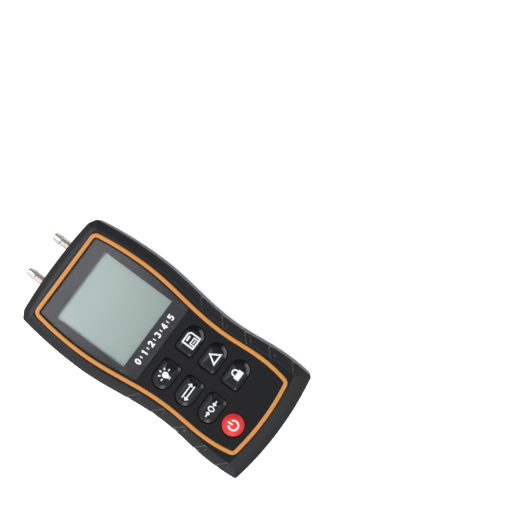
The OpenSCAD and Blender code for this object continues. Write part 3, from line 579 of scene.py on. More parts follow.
def between(values, low, high):
    """Which values lie between two bounds."""
    return (values > low) & (values < high)


wall_reach = 1.6
low_wall_reach = 4.5
top_wall_reach = 5.5
upright = 0.4


def on_wall(thing, low, high):
    """Which faces lie on the outer side wall between two heights: they are upright and near the rim."""
    middle, normal = face_rows(thing)
    reach = half_width(middle[:, 1], body_halves, body_stations) - wall_reach
    within = (np.abs(middle[:, 0]) <= reach) & (middle[:, 1] >= bottom_y + low_wall_reach)
    within &= middle[:, 1] <= top_y - top_wall_reach
    return ~within & (np.abs(normal[:, 2]) < upright) & between(middle[:, 2], low, high)


def finish_faces(thing, rows, *materials):
    """Adds materials to an object, and gives every face the material of its row."""
    for material in materials:
        thing.data.materials.append(material)
    thing.data.polygons.foreach_set("material_index", rows.astype(np.int32))


shaded_face_depth = 0.6
skin_top = 0.3
edge_inset = (0.5, 6)
edge_low = 5
edge_share = (0.05, 0.95)
edge_slope = 0.3
front_case = make_piece("front_shell", loft(rings), case_plastic)
machine(front_case, tools)
middle, normal = face_rows(front_case)
# Faces inside the trim ring, which take the darker copy of the plastic as painted shade
on_shaded_face = np.abs(middle[:, 0]) < half_width(middle[:, 1], ring_halves, ring_stations) - ring_w / 2
on_shaded_face &= between(middle[:, 1], ring_stations[4] + ring_w / 2, ring_stations[0] - ring_w / 2)
on_shaded_face &= middle[:, 2] > face_z - shaded_face_depth
walls = on_wall(front_case, parting_z, face_z - band_drop - chamfer_drop - skin_top)
in_from_rim = half_width(middle[:, 1], body_halves, body_stations) - np.abs(middle[:, 0])
up_skin = np.interp(in_from_rim, level_inset[3:], level_t[3:])
on_edge = between(groove_depth_at(middle[:, 1], up_skin) / groove_depth, *edge_share)
on_edge &= between(in_from_rim, *edge_inset) & (middle[:, 2] > parting_z + edge_low)
on_edge &= normal[:, 2] > edge_slope
finish_rows = np.select([on_shaded_face, on_edge, walls], [1, 3, 2], 0)
finish_faces(front_case, finish_rows, painted_shade_face, side_skin, groove_skin)
soften(front_case)
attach(front_case, "root")
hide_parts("front_case")

# Trim ring
# A satin orange moulding pressed into the groove of the face. It stands a little proud, with rounded
# edges, and a thin shadow gap shows on both sides of it.
ring_edge_r = 0.45
ring_camber = 0.06
ring_top_z = face_z + ring_proud
ring_section = rounded(marked(
    [0, ring_w, ring_w, ring_w / 2, 0],
    [ring_base_z, ring_base_z, ring_top_z - ring_camber, ring_top_z, ring_top_z - ring_camber],
    [0, 0, ring_edge_r, 0, ring_edge_r]), steps=5)
orange_plastic = moulded("orange_plastic", (209, 140, 66), 0.32, grain=1800, bump=0.06, contrast=0.04)
trim_ring = make_piece("orange_ring", loft([at_height(ring_outline(inset), z) for inset, z in ring_section],
                                           loop=True), orange_plastic)
soften(trim_ring, angle=60)
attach(trim_ring, "root")
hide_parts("trim_ring")

# Window mask
# A film printed dark grey, with a clear opening for the display. It is stuck on the case behind the lens, and
# shows as the border of the display.
mask_low, mask_high = corners("window_mask")
mask_ink = moulded("mask_ink", (31, 31, 36), 0.6, grain=900, bump=0.02, contrast=0.05, specular=0.33)
mask = make_piece("window_print", loft([at_height(window_outline(lens_inset + slide_gap), z)
                                        for z in (mask_low[2], mask_high[2])]), mask_ink)
machine(mask, [box_shell((-view_half[0], view_y - view_half[1], mask_low[2] - overrun),
                         (view_half[0], view_y + view_half[1], mask_high[2] + overrun))])
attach(mask, "root")
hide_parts("window_mask")

# Printed scale
# A plain row of numbers with ticks between them, under the display. It is printed on the mask in white ink,
# in strokes of even width.
white_ink = moulded("white_ink", (232, 232, 230), 0.5, bump=0.02, contrast=0.02)


def stroke(path, width, close=False):
    """Flat stroke along a path of points: a ring of four corners at each point, mitred at the bends."""
    path = np.array(path, float)
    if close:
        path = np.concatenate([path[-1:], path, path[:1]])
    step = np.diff(path, axis=0)
    side = np.stack([-step[:, 1], step[:, 0]], -1) / np.linalg.norm(step, axis=1)[:, None]
    before = np.concatenate([side[:1], side])
    after = np.concatenate([side, side[-1:]])
    reach = (before + after) / (1 + (before * after).sum(1, keepdims=True)) * width / 2
    left, right = path + reach, path - reach
    if close:
        left, right = left[1:-1], right[1:-1]
    ring = np.stack([left, right, right, left], 1)
    lift = np.broadcast_to(np.array([-1, -1, 1, 1])[None, :, None], (*ring.shape[:2], 1))
    return loft(np.concatenate([ring, lift], -1), loop=close)


def arc_path(centre, radii, start, end, steps=28):
    """Points along an elliptical arc between two angles in degrees."""
    turn = np.radians(np.linspace(start, end, steps))
    return np.array(centre) + np.stack([radii[0] * np.cos(turn), radii[1] * np.sin(turn)], -1)


scale_y = 2.6
scale_w = 31
ink_t = 0.02
number_line = 0.85
thin_line = number_line * 0.9
tick_w = 0.6
tick_h = 1.8
# Strokes of the numbers 0 to 5, each round its own middle
scale_numbers = [
    [stroke(arc_path((0, 0), (0.92, 1.6), 0, 350, 36), number_line, close=True)],
    [stroke([(-0.75, 0.95), (0.2, 1.5)], number_line), stroke([(0.2, 2), (0.2, -2)], number_line)],
    [stroke(np.concatenate([arc_path((0, 0.68), (0.9, 0.92), 170, -35), [(-0.5, -1.35)]]), number_line),
     stroke([(-1.2, -1.58), (1.3, -1.58)], number_line)],
    [stroke(arc_path((0, 0.78), (0.85, 0.82), 155, -80), number_line),
     stroke(arc_path((0, -0.76), (0.95, 0.84), 85, -155), number_line)],
    [stroke([(0.5, 2), (0.5, -2)], number_line), stroke([(0.3, 1.7), (-0.95, -0.7)], thin_line),
     stroke([(-1.3, -0.8), (1.3, -0.8)], thin_line)],
    [stroke([(1.2, 1.58), (-0.95, 1.58)], number_line), stroke([(-0.68, 1.9), (-0.78, 0.1)], number_line),
     stroke(arc_path((0, -0.6), (0.95, 1), 145, -150), number_line)]]
scale_print = []
for k in range(len(scale_numbers)):
    x = scale_w * (k / (len(scale_numbers) - 1) - 0.5)
    for points, faces in scale_numbers[k]:
        scale_print.append((points * [1, 1, ink_t] + (x, scale_y, mask_high[2] + ink_t / 2), faces))
for k in range(len(scale_numbers) - 1):
    x = scale_w * ((k + 0.5) / (len(scale_numbers) - 1) - 0.5)
    scale_print.append(box_shell((x - tick_w / 2, scale_y - tick_h / 2, mask_high[2]),
                                 (x + tick_w / 2, scale_y + tick_h / 2, mask_high[2] + ink_t)))
scale_row = make_piece("scale_print", scale_print, white_ink)
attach(scale_row, "root")

# Window lens
# A clear acrylic plate with polished faces, a fine bevel and a dark printed edge. It is glued on the mask,
# inside the ring.
lens_low, lens_high = corners("window_lens")
lens_edge = 0.15
lens_air = 0.05
lens_face_tilt = 0.9
lens_levels = ((0, lens_low[2] + lens_air), (0, lens_high[2] - lens_edge), (lens_edge, lens_high[2]))


def clear_plate(name, levels, roughness, ior):
    """Clear material that lets lamps through to what lies behind it."""
    material = bpy.data.materials.new(name)
    material.use_nodes = True
    tree = material.node_tree
    shader = tree.nodes["Principled BSDF"]
    shader.inputs["Base Color"].default_value = linear(*levels)
    shader.inputs["Roughness"].default_value = roughness
    shader.inputs["IOR"].default_value = ior
    shader.inputs["Transmission Weight"].default_value = 1
    path = tree.nodes.new("ShaderNodeLightPath")
    through = tree.nodes.new("ShaderNodeBsdfTransparent")
    mix = tree.nodes.new("ShaderNodeMixShader")
    tree.links.new(path.outputs["Is Shadow Ray"], mix.inputs[0])
    tree.links.new(shader.outputs["BSDF"], mix.inputs[1])
    tree.links.new(through.outputs["BSDF"], mix.inputs[2])
    tree.links.new(mix.outputs["Shader"], tree.nodes["Material Output"].inputs["Surface"])
    return material


acrylic = clear_plate("clear_acrylic", (250, 250, 250), 0.03, 1.49)
plate_edge = moulded("dark_plate_edge", (24, 24, 27), 0.6, bump=0.02)
lens = make_piece("window_plate", loft([at_height(window_outline(lens_inset + slide_gap + inset), z)
                                        for inset, z in lens_levels]), acrylic)
finish_faces(lens, np.abs(face_rows(lens)[1][:, 2]) < lens_face_tilt, plate_edge)
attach(lens, "root")
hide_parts("window_lens")

# Display
# A reflective liquid crystal cell behind the mask: a grey-green glass sandwich on a white light guide,
# in a black frame, joined to the board by two contact rubbers.
# Painted shade: the display's colour is multiplied by this towards its lower right, as if lit from the upper
# left
painted_lower_right_shade = (0.86, 0.86, 0.84, 1)


def dress(material, *names):
    """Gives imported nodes, whose shape stays as it is, a material."""
    for name in names:
        for slot in nodes[name].material_slots:
            slot.material = material


def feed(tree, socket, source):
    """Gives a socket a value, or links a node's output to it."""
    if isinstance(source, bpy.types.NodeSocket):
        tree.links.new(source, socket)
    else:
        socket.default_value = source


def tint_by(material, color, amount):
    """Multiplies a colour into a material's own by an amount, each of them a value or a node's output."""
    tree = material.node_tree
    base = tree.nodes["Principled BSDF"].inputs["Base Color"]
    shade = tree.nodes.new("ShaderNodeMix")
    shade.data_type = "RGBA"
    shade.blend_type = "MULTIPLY"
    feed(tree, shade.inputs["Factor"], amount)
    feed(tree, shade.inputs["A"], base.links[0].from_socket)
    feed(tree, shade.inputs["B"], color)
    tree.links.new(shade.outputs["Result"], base)


def object_place(material):
    """The output that gives a material its place on the object."""
    return next(n for n in material.node_tree.nodes if n.type == "TEX_COORD").outputs["Object"]


def smooth_ramp(tree, value, start, end, low, high):
    """Smooth step of an output: low up to the start, high from the end on."""
    ramp = tree.nodes.new("ShaderNodeMapRange")
    ramp.interpolation_type = "SMOOTHSTEP"
    for socket, setting in (("From Min", start), ("From Max", end), ("To Min", low), ("To Max", high)):
        ramp.inputs[socket].default_value = setting
    tree.links.new(value, ramp.inputs["Value"])
    return ramp.outputs["Result"]


def display_material():
    """Grey-green cell with painted shade: lighter towards the upper left, darker towards the lower right,
    with a trace of cloudiness.
    """
    material = moulded("display_cell", (136, 150, 146), 0.4, grain=500, bump=0.01, drift=30, contrast=0.03)
    tree = material.node_tree
    centre = tree.nodes.new("ShaderNodeMapping")
    view_w, view_h = 2 * view_half[0], 2 * view_half[1]
    centre.inputs["Location"].default_value = (0.5, 0.5 - view_y / view_h, 0)
    centre.inputs["Scale"].default_value = (1 / view_w / MM, 1 / view_h / MM, 1)
    tree.links.new(object_place(material), centre.inputs["Vector"])
    split = tree.nodes.new("ShaderNodeSeparateXYZ")
    tree.links.new(centre.outputs["Vector"], split.inputs["Vector"])
    lean = tree.nodes.new("ShaderNodeMath")
    lean.operation = "SUBTRACT"
    tree.links.new(split.outputs["X"], lean.inputs[0])
    tree.links.new(split.outputs["Y"], lean.inputs[1])
    tint_by(material, painted_lower_right_shade, smooth_ramp(tree, lean.outputs["Value"], -1, 1, 0, 1))
    return material


dress(display_material(), "lcd_glass")
black_plastic = moulded("black_plastic", (22, 22, 24), 0.5)
dress(black_plastic, "lcd_frame", "buzzer")
dress(moulded("light_guide", (236, 236, 232), 0.4, contrast=0.02), "backlight_panel")
dress(moulded("contact_rubber", (196, 134, 128), 0.7), "contact_strips")

# Keys
# Seven silicone keys, each crowned like a pillow with steep rounded flanks. A flange behind the face holds
# a key in, its stem carries a carbon pill, and its sign is printed in white.
key_top_z = corners("save_key")[1][2]
key_bottom_z = corners("save_key")[0][2]
key_crown = 0.9
flank_w = 2.1
flank_drop = 1.02
flange_w = 1.2
flange_t = 1
stem_inset = 2.6
crown_shares = (0.88, 0.74, 0.58, 0.42, 0.26, 0.1)
flank_low = 0.5
flank_angle = 19
flange_top_z = face_z - face_wall - slide_gap / 2


def crown_z(name, place):
    """Height of a key's crowned top at places: a flat bowl turned over, highest at the key's middle."""
    reach = (power_d if name == "power" else key_w) / 2
    away = ((place - key_places[name]) ** 2).sum(-1) / reach ** 2
    return key_top_z - key_crown * away


# Section of a flank: an upright foot, a straight slope and a turn into the crown, as one smooth curve that
# these places (inward, below the crown) pull on
flank_foot = np.array([
    [0, flank_drop], [0, flank_drop - 0.2], [0.12, flank_drop - 0.3], [0.4, flank_drop - 0.407],
    [flank_w - 0.55, 0.174], [flank_w - 0.25, 0.06], [flank_w - 0.1, 0], [flank_w, 0]])
flank = np.stack([sum(weight * point for weight, point in zip(
    (0.5 * (1 - f) ** 2, 0.5 + f * (1 - f), 0.5 * f ** 2), (a, b, c)))
    for a, b, c in zip(flank_foot[:-2], flank_foot[1:-1], flank_foot[2:]) for f in (0, 0.25, 0.5, 0.75)])
flank = np.concatenate([flank_foot[:1], flank, flank_foot[-1:]])


def key_shell(name):
    """A key from its stem up: stem, flange, wall, a flank that rolls over, and the crown to its middle."""
    stem = [(-stem_inset, key_bottom_z), (-stem_inset, flange_top_z - flange_t),
            (flange_w, flange_top_z - flange_t), (flange_w, flange_top_z), (0, flange_top_z)]
    levels = [at_height(key_outline(name, -grow), z) for grow, z in stem]
    for inward, drop in flank:
        edge = key_outline(name, inward)
        levels.append(np.column_stack([edge, crown_z(name, edge) - drop]))
    inner = key_outline(name, flank_w)
    for share in crown_shares:
        ring = key_places[name] + (inner - key_places[name]) * share
        levels.append(np.column_stack([ring, crown_z(name, ring)]))
    return loft(levels)


key_rubber = moulded("key_rubber", (18, 18, 21), 0.33, grain=1500, bump=0.03, contrast=0.08,
                     rough_spread=0.03, specular=0.28)
key_edge = moulded("key_edge", (20, 20, 23), 0.2, grain=1500, bump=0.02, contrast=0.08, rough_spread=0.03)
red_rubber = moulded("red_rubber", (226, 52, 57), 0.36, grain=1500, bump=0.05, contrast=0.04, specular=0.3)
for name in key_places:
    key = make_piece(name + "_cap", key_shell(name), red_rubber if name == "power" else key_rubber)
    if name != "power":
        middle, normal = face_rows(key)
        steep = normal[:, 2] < np.cos(np.radians(flank_angle))
        finish_faces(key, (middle[:, 2] > flange_top_z + flank_low) & steep, key_edge)
    soften(key, angle=50)
    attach(key, name + "_button")
    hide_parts(name + "_key")

# Signs on the keys
# Plain pictograms, printed on the crowns in white ink that wears well. They are strokes of even width that
# follow the crown.
sign_lift = 0.035


def fine_path(path, spacing=0.5, close=False):
    """A path with points added along its straight runs, so that a stroke follows the crown."""
    path = np.array(path, float)
    path = np.concatenate([path, path[:1]]) if close else path
    run = np.concatenate([[0], np.cumsum(np.linalg.norm(np.diff(path, axis=0), axis=1))])
    extra = np.arange(spacing, run[-1], spacing)
    extra = extra[np.abs(extra[:, None] - run[None]).min(1) > spacing / 3]
    places = np.sort(np.concatenate([run, extra]))
    places = places[:-1] if close else places
    return np.stack([np.interp(places, run, path[:, axis]) for axis in (0, 1)], -1)


def disc(centre, radius):
    """Flat disc: rings out from its middle on the lower side and back in on the upper side."""
    shares = (0.02, 0.35, 0.7, 1)
    levels = [(share, -1) for share in shares] + [(share, 1) for share in shares[::-1]]
    return loft([at_height(np.array(centre) + radius * share * round_points(steps=36), lift)
                 for share, lift in levels])


def arrow(tail, tip, width, head):
    """Arrow: a shaft, and a head of two barbs that go back and out by the same length."""
    tail, tip = np.array(tail, float), np.array(tip, float)
    along = (tip - tail) / np.linalg.norm(tip - tail)
    side = np.array([-along[1], along[0]])
    barbs = [tip - head * along + head * side, tip, tip - head * along - head * side]
    return [stroke(fine_path([tail, tip - width * along * 0.7]), width), stroke(fine_path(barbs), width)]


lamp_middle = np.array([0, 0.1])
ray_start = 2.75
ray_end = 4.1
rays = [stroke(fine_path([lamp_middle + ray_start * ray, lamp_middle + ray_end * ray]), 0.8)
        for ray in round_points(steps=8)[:5]]
shackle = np.concatenate([[(-1.7, 0.3)], arc_path((0, 1.2), (1.7, 1.8), 180, 0), [(1.7, 0.3)]])
# Each sign round the middle of its key: a lamp, a disk, two opposite arrows, a triangle, a zero between two
# arrows, a padlock and the usual power sign
signs = {
    "backlight": [disc(lamp_middle, 1.85), stroke([(0, -1.4), (0, -2.3)], 1.9),
                  stroke([(0, -2.6), (0, -3.3)], 1.5)] + rays,
    "save": [stroke(fine_path([(-3.5, -3.6), (3.5, -3.6), (3.5, 2.4), (2.3, 3.6), (-3.5, 3.6)], close=True),
                    0.95, close=True),
             stroke(fine_path([(-2, -3.1), (-2, -0.6), (2, -0.6), (2, -3.1)]), 0.7),
             stroke(fine_path([(-1.8, 2), (1.6, 2)]), 1.1), stroke(fine_path([(-1.2, -2), (1.2, -2)]), 0.6)],
    "unit": arrow((-4.6, 1.15), (4.6, 1.15), 0.8, 1.25) + arrow((4.6, -1.15), (-4.6, -1.15), 0.8, 1.25),
    "difference": [stroke(fine_path([(-3.3, -2.3), (3.3, -2.3), (0, 3)], close=True), 0.95, close=True)],
    "zero": [stroke(arc_path((0, 0), (1.25, 1.7), 0, 350, 36), 0.8, close=True)]
    + arrow((-5.4, 0), (-2.4, 0), 0.8, 1.1) + arrow((5.4, 0), (2.4, 0), 0.8, 1.1),
    "hold": [stroke(fine_path([(-2.9, -1.2), (2.9, -1.2)]), 3.2), stroke(shackle, 0.9)],
    "power": [stroke(arc_path((0, -0.25), (2.75, 2.75), 125, 415, 48), 1),
              stroke(fine_path([(0, 0.4), (0, 3.5)]), 1)]}
for name, shells in signs.items():
    printed = []
    for points, faces in shells:
        place = points[:, :2] + key_places[name]
        printed.append((np.column_stack([place, crown_z(name, place) + sign_lift * points[:, 2]]), faces))
    sign = make_piece(name + "_sign", printed, white_ink)
    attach(sign, name + "_button")

# Keypad mat and pills
# The silicone mat lies on the board under the keys. A pill of carbon-filled rubber under each stem closes its
# contact when the key is pressed.
dress(moulded("mat_rubber", (58, 57, 60), 0.6), "keypad_mat")
dress(moulded("carbon_rubber", (24, 24, 24), 0.75), *[name + "_pill" for name in key_places])

# Ports
# Two nickel-plated brass nipples, turned with a cone that ends in a crest, a slimmer neck and a flange
# clamped between the case halves. Fine turning marks run round them, and a seal ring sits on each.
port_low, port_high = corners("positive_port")
tip_y = port_high[1]
cone_len = 4.3
land_len = 1
crest_r = 2.85
tip_r = 2.1
bore_r = 1.1
flange_r = 4.5
port_flange_t = 2
cradle_t = 2
spigot_r = 2
spigot_low_y = port_low[1]
spigot_len = 7
mouth_depth = 0.5
mouth_flare = 0.4
mouth_turn = (0.25, 0.08)
undercut = 0.25
undercut_len = 0.35
undercut_end = 0.45
rib_y = spigot_low_y + spigot_len + cradle_t
flange_low_y = rib_y + slide_gap
crest_y = tip_y - cone_len
edge = 0.18
port_profile = [
    (bore_r, tip_y - mouth_depth), (bore_r + mouth_turn[0], tip_y - mouth_turn[1]),
    (bore_r + mouth_flare, tip_y),
    (tip_r - edge, tip_y), (tip_r - edge * 0.3, tip_y - edge * 0.3), (tip_r, tip_y - edge),
    (crest_r - edge * 0.4, crest_y + edge * 2), (crest_r - edge * 0.1, crest_y + edge * 0.8),
    (crest_r, crest_y), (crest_r, crest_y - land_len + edge),
    (crest_r - edge * 0.3, crest_y - land_len + edge * 0.3),
    (crest_r - edge, crest_y - land_len), (neck_r - undercut, crest_y - land_len),
    (neck_r - undercut, crest_y - land_len - undercut_len), (neck_r, crest_y - land_len - undercut_end),
    (neck_r, flange_low_y + port_flange_t),
    (flange_r, flange_low_y + port_flange_t), (flange_r, flange_low_y), (neck_r, flange_low_y),
    (neck_r, rib_y - cradle_t), (spigot_r, rib_y - cradle_t), (spigot_r, spigot_low_y),
    (bore_r, spigot_low_y)]


def metal(name, levels, roughness, marks, bump, metallic=1, along_marks=30):
    """Bare or plated metal with fine marks left by the tool, closely spaced along Y."""
    material = moulded(name, levels, roughness, grain=1200, bump=0.02, contrast=0.05, rough_spread=0.04)
    tree = material.node_tree
    shader = tree.nodes["Principled BSDF"]
    shader.inputs["Metallic"].default_value = metallic
    stretch = tree.nodes.new("ShaderNodeMapping")
    stretch.inputs["Scale"].default_value = (along_marks, marks, along_marks)
    tree.links.new(object_place(material), stretch.inputs["Vector"])
    lines = tree.nodes.new("ShaderNodeTexNoise")
    lines.inputs["Scale"].default_value = 1
    tree.links.new(stretch.outputs["Vector"], lines.inputs["Vector"])
    relief = shader.inputs["Normal"].links[0].from_node
    relief.inputs["Strength"].default_value = bump
    tree.links.new(lines.outputs["Fac"], relief.inputs["Height"])
    return material


def paint_rim_shade(material, start, end, level):
    """Paints shade into a polished piece's colour where its surface turns away from the eye, standing in for
    the dark surroundings it would reflect there.
    """
    tree = material.node_tree
    facing = tree.nodes.new("ShaderNodeLayerWeight")
    facing.inputs["Blend"].default_value = 0.5
    tint_by(material, smooth_ramp(tree, facing.outputs["Facing"], start, end, 1, level), 1)


nickel = metal("nickel_plate", (236, 228, 218), 0.22, 5000, 0.12, metallic=0.66)
# Painted shade: the nickel's colour darkens towards the rims that turn away from the eye
paint_rim_shade(nickel, start=0.36, end=0.55, level=0.06)
for side, name in ((1, "positive"), (-1, "negative")):
    nipple = turned(port_profile, (side * port_x, 0, port_z), "y", steps=64)
    port = make_piece(name + "_nipple", loft(nipple, loop=True), nickel)
    soften(port, angle=35)
    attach(port, "root")
    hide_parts(name + "_port")
dress(moulded("seal_rubber", (20, 20, 20), 0.55), "port_seals")

# Sensor and tubes
# A moulded pressure sensor hangs from the board. A soft silicone tube runs to each of its two nozzles from
# one of the ports.
dress(moulded("sensor_plastic", (216, 212, 200), 0.5), "pressure_sensor")
dress(moulded("tube_silicone", (230, 228, 218), 0.45), "positive_tube", "negative_tube")

# Boards and parts
# The main board is glass laminate under green lacquer, with soldered chips, a crystal can and capacitors.
# Screws hold it to the front case.


def board_material():
    """Green lacquer over copper tracks: a fine crossed pattern of tracks shows as a lighter green."""
    material = moulded("board_lacquer", (28, 92, 58), 0.3, bump=0.03)
    tree = material.node_tree
    tracks = tree.nodes.new("ShaderNodeTexBrick")
    for socket, value in (("Scale", 240), ("Mortar Size", 0.03), ("Color1", (1, 1, 1, 1)),
                          ("Color2", (0.8, 0.8, 0.8, 1)), ("Mortar", (1.6, 1.7, 1.2, 1))):
        tracks.inputs[socket].default_value = value
    tree.links.new(object_place(material), tracks.inputs["Vector"])
    tint_by(material, tracks.outputs["Color"], 1)
    return material


dress(board_material(), "main_board")
dress(moulded("chip_epoxy", (34, 34, 36), 0.55), "processor", "memory_chip", "amplifier_chip", "capacitors")
spring_steel = metal("spring_steel", (200, 198, 194), 0.25, 900, 0.06)
dress(spring_steel, "quartz_crystal", "contact_plates")

# Rear case
# The lower half of the housing, of the same plastic, with a large round along its back edge. It holds the
# battery bay, the rails of the door, the screw bosses and a shallow recess for the label.
back_r = 4
boss_r = 3.5
screw_r = 1.5
head_r = 2.8
hole_gap = 0.2
counterbore = 6
counterbore_lip = 0.4
screw_x = 29.2
screw_from_end = 10
screw_places = [(x, y) for x in (-screw_x, screw_x)
                for y in (bottom_y + screw_from_end, top_y - screw_from_end)]
door_low, door_high = corners("battery_door")
door_half = 19.5
tongue_w = 1.4
door_top_y = door_high[1]
bay_wall = 1.5
cell_low, cell_high = corners("battery_left")
cell_r = (cell_high[0] - cell_low[0]) / 2
cell_gap = 0.5
cell_names = ("battery_left", "battery_middle", "battery_right")
bay_half = len(cell_names) * cell_r + 2 * cell_gap
bay_top_y = corners("contact_plates")[1][1]
bay_low_y = corners("contact_plates")[0][1]
bay_floor_z = door_high[2] + slide_gap
bay_ceiling_z = cell_high[2] + cell_gap
rear_side_step = 1.5
rear_wall_z = 8
plain_points = body_points(np.arange(side_low, side_top, rear_side_step))


def back_round(steps):
    """Inset and height of the round along the back edge: a quarter circle from the flat back to the wall."""
    turn = np.linspace(0, np.pi / 2, steps)
    return np.column_stack([back_r * (1 - np.sin(turn)), back_r * (1 - np.cos(turn))])


back = np.concatenate([
    back_round(steps=9), [[0, rear_wall_z], [0, parting_z - seam_bevel], [seam_bevel, parting_z],
                          [wall, parting_z], [wall, wall]]])
rear_case = make_piece("rear_shell", loft([at_height(body_outline(plain_points, inset), z)
                                           for inset, z in back]), case_plastic)
rail_half = door_half + tongue_w + slide_gap + bay_wall
joined = [rod(boss_r, wall - overrun, parting_z, (x, y, 0), "z") for x, y in screw_places]
joined += [box_shell((-bay_half - bay_wall, bay_low_y - bay_wall, wall - overrun),
                     (bay_half + bay_wall, bay_top_y + bay_wall, bay_ceiling_z + bay_wall)),
           box_shell((-rail_half, bottom_y + wall, wall - overrun),
                     (rail_half, door_top_y + bay_wall, wall + bay_wall))]
joined += [box_shell((x - flange_r, rib_y - cradle_t, wall - overrun), (x + flange_r, rib_y, port_z))
           for x in (-port_x, port_x)]
machine(rear_case, joined, "UNION")
label_low, label_high = corners("rating_label")
tongue_low_z = 0.95
tongue_high_z = 1.95
lead_r = 0.7
lead_hole_r = 0.9
lead_hole_start = 0.4
lead_x = corners("battery_lead_red")[1][0] - lead_r
lead_z = corners("battery_lead_red")[0][2] + lead_r
removed = [
    box_shell((-door_half - slide_gap, bottom_y - overrun, -overrun),
              (door_half + slide_gap, door_top_y + slide_gap, bay_floor_z)),
    box_shell((-door_half - tongue_w - slide_gap, bottom_y - overrun, tongue_low_z),
              (door_half + tongue_w + slide_gap, door_top_y + slide_gap, tongue_high_z)),
    box_shell((-bay_half, bay_low_y, -overrun), (bay_half, bay_top_y, bay_ceiling_z)),
    box_shell((label_low[0] - slide_gap, label_low[1] - slide_gap, -overrun),
              (label_high[0] + slide_gap, label_high[1] + slide_gap, label_high[2]))]
screw_hole = [(head_r + hole_gap + counterbore_lip, -overrun), (head_r + hole_gap + counterbore_lip, 0),
              (head_r + hole_gap, counterbore_lip), (head_r + hole_gap, counterbore),
              (screw_r + hole_gap, counterbore), (screw_r + hole_gap, parting_z + overrun)]
for x, y in screw_places:
    removed.append(loft(turned(screw_hole, (x, y, 0), "z")))
for side, port_hole in zip((-1, 1), port_holes):
    removed.append(rod(neck_r + slide_gap, rib_y - cradle_t - overrun, rib_y + overrun,
                       (side * port_x, 0, port_z), "y"))
    removed.append(port_hole)
    removed.append(rod(lead_hole_r, bay_top_y - lead_hole_start, bay_top_y + bay_wall + overrun,
                       (side * lead_x, 0, lead_z), "y", steps=24))
machine(rear_case, removed)
skin_low = 3
finish_faces(rear_case, on_wall(rear_case, skin_low, parting_z), side_skin)
soften(rear_case)
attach(rear_case, "root")
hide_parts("rear_case")

# Battery door
# A flat cover of the case's plastic that slides off over the bottom end on two tongues. Five grip grooves for
# the thumb are moulded into it.
door = make_piece("bay_door", loft([at_height(body_outline(plain_points, inset), z)
                                    for inset, z in back_round(steps=12)]), case_plastic)
plate = make_piece("plate", box_shell((-door_half, bottom_y - overrun, door_low[2]),
                                      (door_half, door_top_y, door_high[2])))
machine(plate, [box_shell((-door_half - tongue_w, bottom_y - overrun, tongue_low_z + slide_gap),
                          (door_half + tongue_w, door_top_y, tongue_high_z - slide_gap))], "UNION")
cut = door.modifiers.new("trim", "BOOLEAN")
cut.operation = "INTERSECT"
cut.solver = "EXACT"
cut.object = plate
settle(door)
bpy.data.objects.remove(plate)
ridge_count = 5
ridge_pitch = 2
first_ridge = 6
ridge_radii = (0.55, 0.25)
ridges = []
for k in range(ridge_count):
    middle = (door_top_y - first_ridge - ridge_pitch * k, door_low[2])
    section = middle + np.multiply(ridge_radii, round_points(steps=24))
    ridges.append(loft([np.column_stack([np.full(len(section), x), section])
                        for x in (-door_half / 2, door_half / 2)]))
machine(door, ridges)
soften(door)
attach(door, "door")
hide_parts("battery_door")

# Cells
# Three round cells in plain jackets of shrunk film, with a crimped shoulder at the nub and a flat base. They
# lie side by side in the bay, the middle one turned round.
jacket = moulded("cell_jacket", (138, 143, 150), 0.3, contrast=0.05)
nub_r = 1.9
cell_x = []
for name, up in zip(cell_names, (1, -1, 1)):
    low, high = corners(name)
    middle = (low + high) / 2
    half = (high[1] - low[1]) / 2
    profile = np.array([
        (0.2, -half), (cell_r - 0.8, -half), (cell_r - 0.3, -half + 0.15), (cell_r, -half + 0.5),
        (cell_r, half - 1.9), (cell_r - 0.25, half - 1.4), (cell_r - 0.8, half - 1.15),
        (nub_r + 0.4, half - 1.05), (nub_r, half - 0.9), (nub_r, half - 0.2), (nub_r - 0.2, half),
        (0.2, half)])
    profile[:, 1] *= up
    cell_x.append(middle[0])
    cell = make_piece(name + "_cell", loft(turned(profile, middle, "y")), jacket)
    soften(cell, angle=40)
    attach(cell, "root")
    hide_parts(name)

# Contact springs
# Conical springs of plated wire press on the flat end of each cell. Stamped plates join the cells, and two
# leads run to the board.
wire_r = 0.28
spring_turns = 5
spring_r = 3
spring_len = 3
spring_taper = 1.2
plate_t = 0.5
turn_steps = 24
wire_steps = 10
cell_z = (cell_low[2] + cell_high[2]) / 2
spring_shells = []
for x, side in zip(cell_x, (-1, 1, -1)):
    base_y = bay_low_y + plate_t if side < 0 else bay_top_y - plate_t
    share = np.linspace(0, 1, spring_turns * turn_steps)
    sweep = 2 * np.pi * spring_turns * share
    coil_r = spring_r - wire_r - spring_taper * share
    line = np.stack([x + coil_r * np.cos(sweep), base_y - side * (wire_r + (spring_len - 2 * wire_r) * share),
                     cell_z + coil_r * np.sin(sweep)], -1)
    ahead = np.gradient(line, axis=0)
    ahead /= np.linalg.norm(ahead, axis=1)[:, None]
    out = np.stack([np.cos(sweep), np.zeros_like(sweep), np.sin(sweep)], -1)
    up = np.cross(ahead, out)
    up /= np.linalg.norm(up, axis=1)[:, None]
    out = np.cross(up, ahead)
    circle = round_points(wire_steps)
    spring_shells.append(loft(line[:, None] + wire_r * (circle[None, :, :1] * out[:, None]
                                                        + circle[None, :, 1:] * up[:, None])))
springs = make_piece("coil_springs", spring_shells, spring_steel)
soften(springs, angle=60)
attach(springs, "root")
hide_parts("battery_springs")
dress(moulded("red_wire", (170, 34, 34), 0.4), "battery_lead_red")
dress(moulded("black_wire", (22, 22, 22), 0.4), "battery_lead_black")

